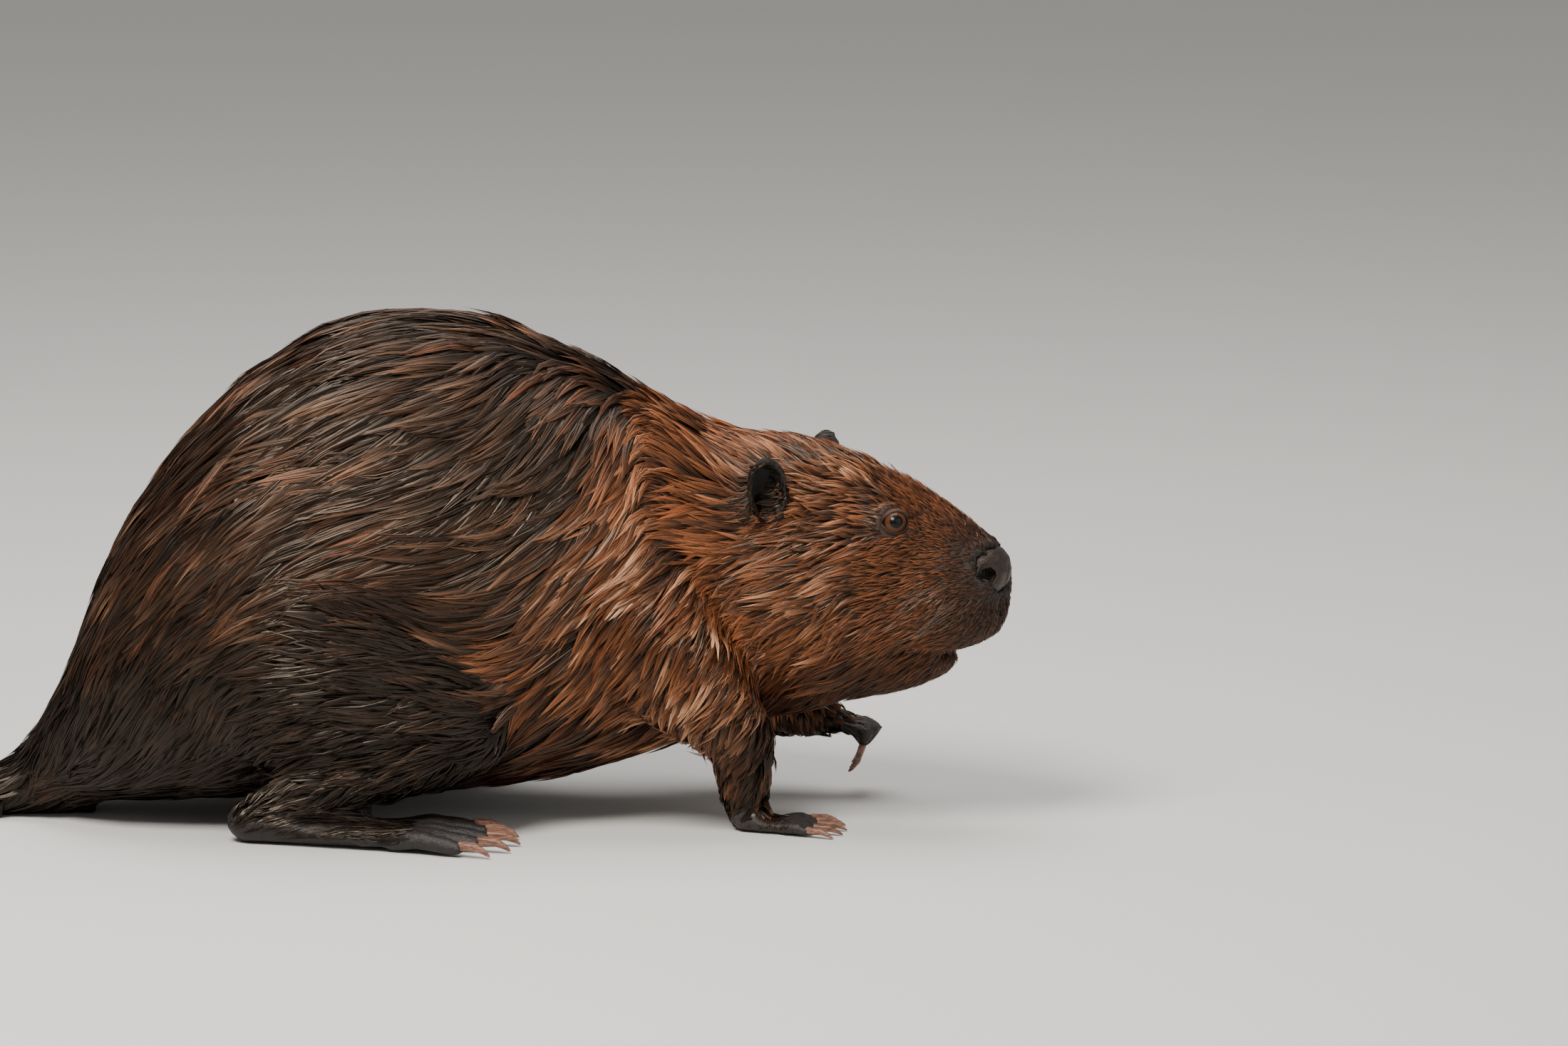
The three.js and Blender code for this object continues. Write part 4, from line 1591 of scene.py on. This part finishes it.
        # The fan is wide at the root and gathered at the tip, and its middle is the highest.
        gather = style.half * ((1.0 - t) ** 0.75 + style.gathered)
        splay = spread[:, :, None] * gather[None, None, :]
        crown = 0.5 * style.half * (1.0 - spread**2)
        rise = crown[:, :, None] * (0.35 + 0.65 * np.sin(np.pi * np.minimum(t * 0.8 + 0.1, 1.0)))
        place = place + sides * splay[..., None] + ups * (rise * (1.0 - 0.8 * t))[..., None]
        # A strand has two vertices at each ring and one at its tip.
        flat = sides * np.cos(roll)[..., None, None] + ups * np.sin(roll)[..., None, None]
        width = style.strand * (0.72 + 0.6 * self.random.random(shape))
        widths = width[:, :, None] * np.interp(t, [0.0, 0.4, 0.8, 1.0], [0.8, 1.0, 0.7, 0.0])
        body = place[:, :, :-1]
        half = flat[:, :, :-1] * widths[:, :, :-1, None]
        pairs = np.stack([body - half, body + half], axis=3).reshape(*shape, -1, 3)
        points = np.concatenate([pairs, place[:, :, -1:]], axis=2)
        points[..., 2] = np.maximum(points[..., 2], self.floor)
        per = 2 * (rings - 1) + 1
        along = np.concatenate([np.repeat(t[:-1], 2), [1.0]])
        uv = locks["uv"][:, None, None, :] + self._patch(along, style.strands)[None]
        lot = 0.78 * locks["lot"][:, None] + 0.22 * self.random.random(shape)
        return {
            "points": points.reshape(-1, 3),
            "uv": uv.reshape(-1, 2),
            "along": np.tile(along, lot.size),
            "lot": np.repeat(lot.ravel(), per),
            "marks": np.repeat(marks_and_painted_light(locks["root"]), style.strands * per, axis=0),
            "per": per,
        }

    def _fan(self, shape: tuple[int, int], style: Lock) -> tuple[np.ndarray, np.ndarray, np.ndarray]:
        """Draw how strands lie in their locks.

        Args:
            shape: How many locks, and how many strands in each.
            style: How the zone's locks are made.

        Returns:
            For each strand its place across from -1 to 1, its share of the lock's length, and its roll.
        """
        places = np.linspace(-1.0, 1.0, style.strands)[None, :]
        spread = places + style.stray * (self.random.random(shape) - 0.5)
        length = 1.0 - style.ragged * np.abs(spread) ** 1.4 * self.random.random(shape)
        length *= 0.86 + 0.2 * self.random.random(shape)
        roll = 0.5 * self.random.standard_normal(shape) - 0.35 * spread
        return spread, length, roll

    @staticmethod
    def _sampled(values: np.ndarray, low: np.ndarray, share: np.ndarray) -> np.ndarray:
        """Blend what locks carry between two of their rings.

        Args:
            values: A vector for each lock and ring.
            low: The lower ring, for each lock, strand and step.
            share: How far each is on the way to the next ring.

        Returns:
            A vector for each lock, strand and step.
        """
        pick = np.arange(len(values))[:, None, None]
        return values[pick, low] * (1 - share) + values[pick, low + 1] * share

    @staticmethod
    def _patch(along: np.ndarray, strands: int) -> np.ndarray:
        """Lay the strands of a lock side by side in its patch of the texture map.

        Args:
            along: How far along its strand each vertex is.
            strands: How many strands there are.

        Returns:
            The vertices' places, from the middle of the patch.
        """
        edge = np.concatenate([np.tile([0.0, 1.0], len(along) // 2), [0.5]])
        lane = (np.arange(strands)[:, None] + edge[None, :]) / strands - 0.5
        return np.stack([lane, np.broadcast_to(along - 0.5, lane.shape)], axis=-1) * PATCH

    def piece(self, name: str, made: dict, slot: str) -> bpy.types.Object:
        """Make one piece of the coat.

        Args:
            name: Its name.
            made: What strands returned.
            slot: Its material slot; not used.

        Returns:
            The piece.
        """
        per = made["per"]
        count = len(made["points"]) // per
        quads = [[2 * i, 2 * i + 1, 2 * i + 3, 2 * i + 2] for i in range((per - 1) // 2 - 1)]
        corners = [corner for quad in quads for corner in quad] + [per - 3, per - 2, per - 1]
        loops = (np.arange(count)[:, None] * per + np.array(corners)).ravel()
        totals = np.tile([4] * len(quads) + [3], count)
        piece = mesh_object(name, made["points"], loops, totals, self.material)
        carry(piece, "Marks", made["marks"])
        carry(piece, "Along", made["along"])
        carry(piece, "Lot", made["lot"])
        bake_map(piece, made["uv"][loops])
        return settle(piece)

    def build(self) -> None:
        """Grow every zone and split it into pieces that the export can take."""
        zone = self.zones()
        for which in Zone:
            style = which.value
            roots = self.scatter(zone, which)
            locks = self.grow(roots, which)
            each = style.strands * (2 * style.steps - 1)
            count = len(locks["lot"])
            parts = math.ceil(count * each / MOST_TRIANGLES)
            order = np.argsort(locks["root"][:, 0], kind="stable")
            slot = "face coat" if which in (Zone.HEAD, Zone.FACE) else "body coat"
            slot = "ear coat" if which is Zone.EAR else slot
            for number, chosen in enumerate(np.array_split(order, parts)):
                some = {key: value[chosen] for key, value in locks.items()}
                name = f"coat_{which.name.lower()}_{number + 1}"
                self.piece(name, self.strands(some, style), slot)


# ---------------------------------------------------------------- eyes, nose, claws, ears, tail


# A lid's section: how far out from the opening's edge, and how far forward.
LID_PROFILE = (
    (-0.25, -0.6),
    (-0.2, 0.1),
    (0.1, 0.4),
    (0.5, 0.4),
    (0.9, 0.05),
    (1.3, -0.6),
    (1.8, -1.5),
    (2.4, -2.9),
    (3.0, -5.0),
    (1.8, -6.0),
    (0.4, -4.0),
)


@dataclass
class Eye:
    """One eye: a ball with a bulging cornea, and the lids round it."""

    side: Side
    radius: float = 8.1
    rings: int = 28
    sides: int = 40
    lid_sides: int = 64
    lid_gap: float = 0.1  # between the lids and the ball
    cornea: float = 0.06  # how far it bulges, as a share of the radius
    cornea_turn: float = 0.55  # how far round from the axis it reaches
    sunk: float = 1.8  # behind the solid's centre
    look: tuple[float, float, float] = (0.46, 0.82, 0.27)  # along, out and up
    opening: tuple[float, float] = (7.1, 6.5)  # half length and half height

    def build(self) -> None:
        """Make the ball and the lids."""
        look = np.array(self.look) * np.array([1.0, self.side.value, 1.0])
        axis = unit(from_head(look, ways=True))
        back = unit(np.cross(axis, np.array([0.0, 0.0, 1.0])) * -self.side.value)
        rise = np.cross(axis, back) * self.side.value
        axes = np.array([axis, back, rise * np.sign(rise[2])])
        centre = middle("eye", self.side) - axis * self.sunk
        self._ball(centre, axes)
        self._lids(centre, axes)

    def _ball(self, centre: np.ndarray, axes: np.ndarray) -> None:
        """Make the eyeball, which carries the turn away from its axis.

        Args:
            centre: Its middle.
            axes: The directions in which it looks, back along the head, and up.
        """
        axis, back, rise = axes
        turn = np.linspace(0.0, math.pi, self.rings + 1)[1:-1]
        round_ = np.linspace(0.0, 2 * math.pi, self.sides, endpoint=False)
        bulge = 1.0 + self.cornea * np.exp(-((turn / self.cornea_turn) ** 2))
        radial = np.cos(round_)[:, None] * back + np.sin(round_)[:, None] * rise
        ring = (
            (np.sin(turn) * bulge)[:, None, None] * radial[None]
            + (np.cos(turn) * bulge)[:, None, None] * axis
        )
        front = axis * (1.0 + self.cornea)
        points = np.concatenate([[front], ring.reshape(-1, 3), [-axis]]) * self.radius + centre
        last = len(points) - 1
        faces: list[list[int]] = []
        for j in range(self.sides):
            k = (j + 1) % self.sides
            faces.append([0, 1 + j, 1 + k])
            for i in range(self.rings - 2):
                a = 1 + i * self.sides
                faces.append([a + j, a + self.sides + j, a + self.sides + k, a + k])
            faces.append([last, last - self.sides + k, last - self.sides + j])
        loops = np.array([corner for face in faces for corner in face])
        totals = np.array([len(face) for face in faces])
        name = named("eye", self.side)
        made = mesh_object(name + "_ball", points, loops, totals, EyeFinish().material())
        carry(made, "Turn", np.concatenate([[0.0], np.repeat(turn, self.sides), [math.pi]]))
        settle(made, (name,))

    def _lids(self, centre: np.ndarray, axes: np.ndarray) -> None:
        """Make the lids: a soft rim against the ball that slopes away under the coat.

        Args:
            centre: The eyeball's middle.
            axes: The directions in which it looks, back along the head, and up.
        """
        axis, back, rise = axes
        profile = np.array(LID_PROFILE)
        around = len(profile)
        points, loops = [], []
        for i in range(self.lid_sides):
            angle = 2 * math.pi * i / self.lid_sides
            c, s = math.cos(angle), math.sin(angle)
            # The opening is drawn out at its corners, and its top edge is a little flatter.
            across = (self.opening[0] + 0.7 * abs(c) ** 8) * c
            high = self.opening[1] * s * (1.0 - 0.12 * c) - (0.5 * max(s, 0.0))
            flat = back * across + rise * high
            reach = math.sqrt(max((self.radius + self.lid_gap) ** 2 - across**2 - high**2, 0.6))
            outward = unit(flat)
            heavy = 1.0 + 0.3 * max(s, 0.0) ** 2  # the upper lid is the thicker one
            for out, forward in profile:
                lift = forward * heavy if forward > 0 else forward
                points.append(centre + flat + outward * out + axis * (reach + lift))
            a, b = i * around, ((i + 1) % self.lid_sides) * around
            for j in range(around):
                k = (j + 1) % around
                loops.extend([a + j, b + j, b + k, a + k])
        material = LeatherFinish("lids", linear(52, 29, 17), linear(92, 52, 28), 900.0, 0.3, 0.6).material()
        totals = np.full(self.lid_sides * around, 4)
        made = mesh_object(named("lids", self.side), np.array(points), np.array(loops), totals, material)
        dark = np.interp(profile[:, 0], [0.9, 2.1], [0.95, 0.0])  # along the rim
        carry(made, "Dark", np.tile(dark, self.lid_sides))
        settle(made)


@dataclass
class Tail:
    """The flat scaly paddle, with its scales in real relief."""

    voxel: float = 1.2
    row: float = 5.0  # from one row of scales to the next
    scale: float = 6.6  # the width of a scale
    relief: float = 0.85
    ridge: float = 10.0  # the half width of the flatter scales along the middle
    darkest: float = 0.75  # between the scales

    def build(self) -> None:
        """Make the paddle."""
        surface = Surface.remeshed(("tail_paddle",), self.voxel)
        surface.relax(6)
        surface.points = surface.blurred(surface.points, 24)
        surface.points[:, :2] = surface.blurred(surface.points[:, :2], 60)
        spread = surface.points - surface.points.mean(0)
        _, _, axes = np.linalg.svd(spread[::17], full_matrices=False)
        lengthwise = axes[0] * -np.sign(axes[0][0])
        crosswise = np.cross(np.array([0.0, 0.0, 1.0]), lengthwise)
        along = spread @ lengthwise
        across = spread @ crosswise
        row = np.floor(along / self.row)
        down = along / self.row - row  # within a scale, from its root to its free edge
        over = across / self.scale + 0.5 * (row % 2)
        over = over - np.floor(over)
        dome = 1.0 - np.abs(2.0 * over - 1.0) ** 4
        ramp = ease(down, 0.0, 0.6) * ease(down, 1.0, 0.8)
        flat = ease(np.abs(across), 0.0, self.ridge) * 0.25 + 0.75
        height = self.relief * (flat * dome * (0.25 + 0.75 * ramp) - 0.8)
        height = np.where(surface.points[:, 2] < 1.2, 0.0, height)
        surface.points = surface.points + surface.normals() * height[:, None]
        surface.points[:, 2] = np.maximum(surface.points[:, 2], 0.0)
        finish = LeatherFinish(
            "tail_scales", linear(22, 19, 18), linear(52, 45, 41), 420.0, 0.35, 0.56, 0.04
        )
        made = surface.object("tail", finish.material())
        carry(made, "Dark", np.clip(self.darkest - 0.9 * dome * ramp, 0.0, self.darkest))
        settle(made, ("tail_paddle",))


@dataclass
class Muzzle:
    """The nose pad and the whiskers, with their places in the head's frame."""

    whiskers: int = 22  # on each side
    roots: tuple = ((92.0, 114.0), (31.0, 38.0), (124.0, 160.0))  # where they grow
    long: tuple[float, float] = (24.0, 52.0)
    thick: tuple[float, float] = (0.16, 0.26)  # radius at the root
    fall: tuple[float, float, float] = (-0.55, 0.0, -0.28)  # how a whisker bends
    sides: int = 5
    rings: int = 10
    voxel: float = 0.8
    nostril: tuple[float, float, float] = (123.5, 17.0, 160.5)
    nostril_size: tuple[float, float, float] = (8.0, 8.0, 5.8)

    def build(self, skin: Skin) -> None:
        """Make the nose pad and the whiskers.

        Args:
            skin: The skin that the whiskers grow from.
        """
        self._pad()
        random = np.random.default_rng(SEED + 1)
        faces = self._faces()
        share = np.linspace(-0.5, 0.5, self.rings)
        lane, length = np.meshgrid(np.linspace(-0.5, 0.5, self.sides), share)
        patch = np.stack([lane.ravel(), length.ravel()], axis=1) * PATCH
        points, loops, places = [], [], []
        for side in SIDES:
            mirror = np.array([1.0, side.value, 1.0])
            for _ in range(self.whiskers):
                root = np.array([random.uniform(low, high) for low, high in self.roots]) * mirror
                way = np.array([random.uniform(-0.35, 0.15), side.value, random.uniform(-0.5, 0.1)])
                loops.extend([len(points) + corner for face in faces for corner in face])
                points.extend(self._whisker(root, unit(way), random))
                apart = np.linalg.norm(skin.surface.points - from_head(root[None, :]), axis=1)
                places.append(skin.unwrapped[apart.argmin()] + patch)
        paint = Paint("whiskers")
        tone = paint.mix(paint.grain(300.0), linear(40, 32, 28), linear(96, 84, 74))
        material = paint.finish({"Base Color": tone, "Roughness": 0.4})
        totals = np.tile([len(face) for face in faces], 2 * self.whiskers)
        made = mesh_object("whiskers", from_head(np.array(points)), np.array(loops), totals, material)
        bake_map(made, np.concatenate(places)[np.array(loops)])
        settle(made)

    def _pad(self) -> None:
        """Make the nose pad, with its nostrils and the groove between them."""
        surface = Surface.remeshed(("nose",), self.voxel)
        surface.relax(6)
        surface.points = surface.blurred(surface.points, 8)
        head = to_head(surface.points)
        apart = np.linalg.norm((folded(head) - self.nostril) / self.nostril_size, axis=1)
        groove = np.exp(-((head[:, 1] / 1.3) ** 2)) * ease(head[:, 2], 166.0, 158.0)
        sunk = 4.5 * np.exp(-(apart**3)) + 1.1 * groove
        surface.points = surface.points - surface.normals() * sunk[:, None]
        # Painted shade in the nostrils and the groove between them.
        dark = np.clip(np.exp(-((apart / 1.05) ** 4)) + 0.5 * groove, 0.0, 1.0)
        finish = LeatherFinish("nose", linear(14, 9, 7), linear(42, 28, 22), 900.0, 0.5, 0.52)
        made = surface.object("nose_pad", finish.material())
        carry(made, "Dark", dark)
        settle(made, ("nose",))

    def _faces(self) -> list[list[int]]:
        """List the faces of one whisker.

        Returns:
            The vertices of each: round its sides, then its two ends.
        """
        n = self.sides
        faces = [
            [a + j, a + (j + 1) % n, a + n + (j + 1) % n, a + n + j]
            for a in range(0, (self.rings - 1) * n, n)
            for j in range(n)
        ]
        return [*faces, list(range(n))[::-1], list(range((self.rings - 1) * n, self.rings * n))]

    def _whisker(self, root: np.ndarray, way: np.ndarray, random: np.random.Generator) -> list:
        """Shape one tapering whisker that bends back and down.

        Args:
            root: Where it grows.
            way: Which way it starts.
            random: The source of its size.

        Returns:
            Its points, ring after ring.
        """
        long = random.uniform(*self.long)
        thick = random.uniform(*self.thick)
        fall = np.array(self.fall) * random.uniform(0.6, 1.3)
        side = unit(np.cross(way, np.array([0.0, 0.0, 1.0])))
        other = np.cross(way, side)
        points = []
        for ring in range(self.rings):
            t = ring / (self.rings - 1)
            centre = root + way * long * t + fall * long * t * t * 0.6
            radius = thick * (1.0 - 0.88 * t)
            for j in range(self.sides):
                angle = 2 * math.pi * j / self.sides
                points.append(centre + radius * (math.cos(angle) * side + math.sin(angle) * other))
        return points


@dataclass
class Claws:
    """The claws, rounded from their solids and rooted in the toes."""

    voxel: float = 0.55
    root: float = 3.4  # how far a claw's base reaches back into its toe

    def build(self) -> None:
        """Make all the claws."""
        material = HornFinish().material()
        for node in sorted(frame["nodes"]):
            if "claw" not in node:
                continue
            foot = node.rsplit("_", 1)[0].replace("claw", "foot")
            surface = Surface.remeshed((node,), self.voxel)
            surface.relax(5)
            centre = surface.points.mean(axis=0)
            _, _, axes = np.linalg.svd(surface.points - centre, full_matrices=False)
            axis = axes[0] * np.sign(axes[0] @ (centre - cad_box(foot).mean(axis=0)))
            along = (surface.points - centre) @ axis
            t = (along - along.min()) / np.ptp(along)
            surface.points = surface.points - axis * (self.root * (1.0 - ease(t, 0.0, 0.4)))[:, None]
            surface.points[:, 2] = np.maximum(surface.points[:, 2], 0.0)
            settle(surface.object(node.replace("claw", "nail"), material), (node,))


# ---------------------------------------------------------------- the stage


AIM = Vector((120, 0, 140))  # what the lamps face


@dataclass(frozen=True)
class Lamp:
    """A soft square lamp aimed at the animal."""

    name: str
    at: tuple[float, float, float]
    size: float
    power: float  # in watts
    color: tuple[float, float, float]

    def build(self) -> None:
        """Make the lamp."""
        data = bpy.data.lights.new(self.name, "AREA")
        data.size = self.size * MM
        data.energy = self.power
        data.color = self.color
        light = bpy.data.objects.new(self.name, data)
        bpy.context.scene.collection.objects.link(light)
        light.location = Vector(self.at) * MM
        light.rotation_mode = "QUATERNION"
        light.rotation_quaternion = (AIM * MM - light.location).to_track_quat("-Z", "Y")


LAMPS = (
    Lamp("key", (-500, -1300, 1900), 900, 78.0, (1.0, 0.96, 0.9)),
    Lamp("fill", (1500, -1300, 900), 1600, 9.0, (1.0, 0.98, 0.95)),
    Lamp("top", (100, 500, 2000), 1600, 36.0, (1.0, 0.98, 0.96)),
)


@dataclass
class Studio:
    """The floor, the lamps and the camera."""

    target: tuple[float, float, float] = (290.4, 0.0, 177.7)
    rise: float = 10.0  # degrees above the horizon
    back: float = 9000.0  # from the target
    lens: float = 338.6
    sensor: float = 36.0
    floor: float = 30000.0  # half its width
    room: float = 0.34  # the light from all round

    def build(self) -> None:
        """Make the stage."""
        for name in ("Cube", "Light", "Camera"):
            if name in bpy.data.objects:
                bpy.data.objects.remove(bpy.data.objects[name])
        self._floor()
        self._camera()
        for lamp in LAMPS:
            lamp.build()
        world = bpy.data.worlds.new("room")
        bpy.context.scene.world = world
        world.use_nodes = True
        background = world.node_tree.nodes["Background"]
        background.inputs["Color"].default_value = (1.0, 0.98, 0.96, 1.0)
        background.inputs["Strength"].default_value = self.room

    def _floor(self) -> None:
        """A wide plain floor."""
        half = self.floor
        points = np.array([[-half, -half, 0], [half, -half, 0], [half, half, 0], [-half, half, 0]])
        floor = mesh_object("floor", points, np.arange(4), np.array([4]), FloorFinish().material())

    def _camera(self) -> None:
        """The camera at the viewing angle."""
        data = bpy.data.cameras.new("camera")
        data.sensor_width = self.sensor
        data.lens = self.lens
        data.clip_end = 100.0
        camera = bpy.data.objects.new("camera", data)
        bpy.context.scene.collection.objects.link(camera)
        bpy.context.scene.camera = camera
        angle = math.radians(self.rise)
        away = Vector((0.0, -math.cos(angle), math.sin(angle)))
        camera.location = Vector(self.target) * MM + away * self.back * MM
        camera.rotation_mode = "QUATERNION"
        camera.rotation_quaternion = (-away).to_track_quat("-Z", "Y")


def main() -> None:
    """Build the animal and its stage."""
    logging.basicConfig(level=logging.INFO, format="%(relativeCreated)7.0f ms %(message)s")
    Studio().build()
    skin = Skin()
    skin.build()
    skin.dress()
    Coat(skin).build()
    for side in SIDES:
        Eye(side).build()
    Muzzle().build(skin)
    Claws().build()
    Tail().build()


if __name__ == "__main__":
    main()
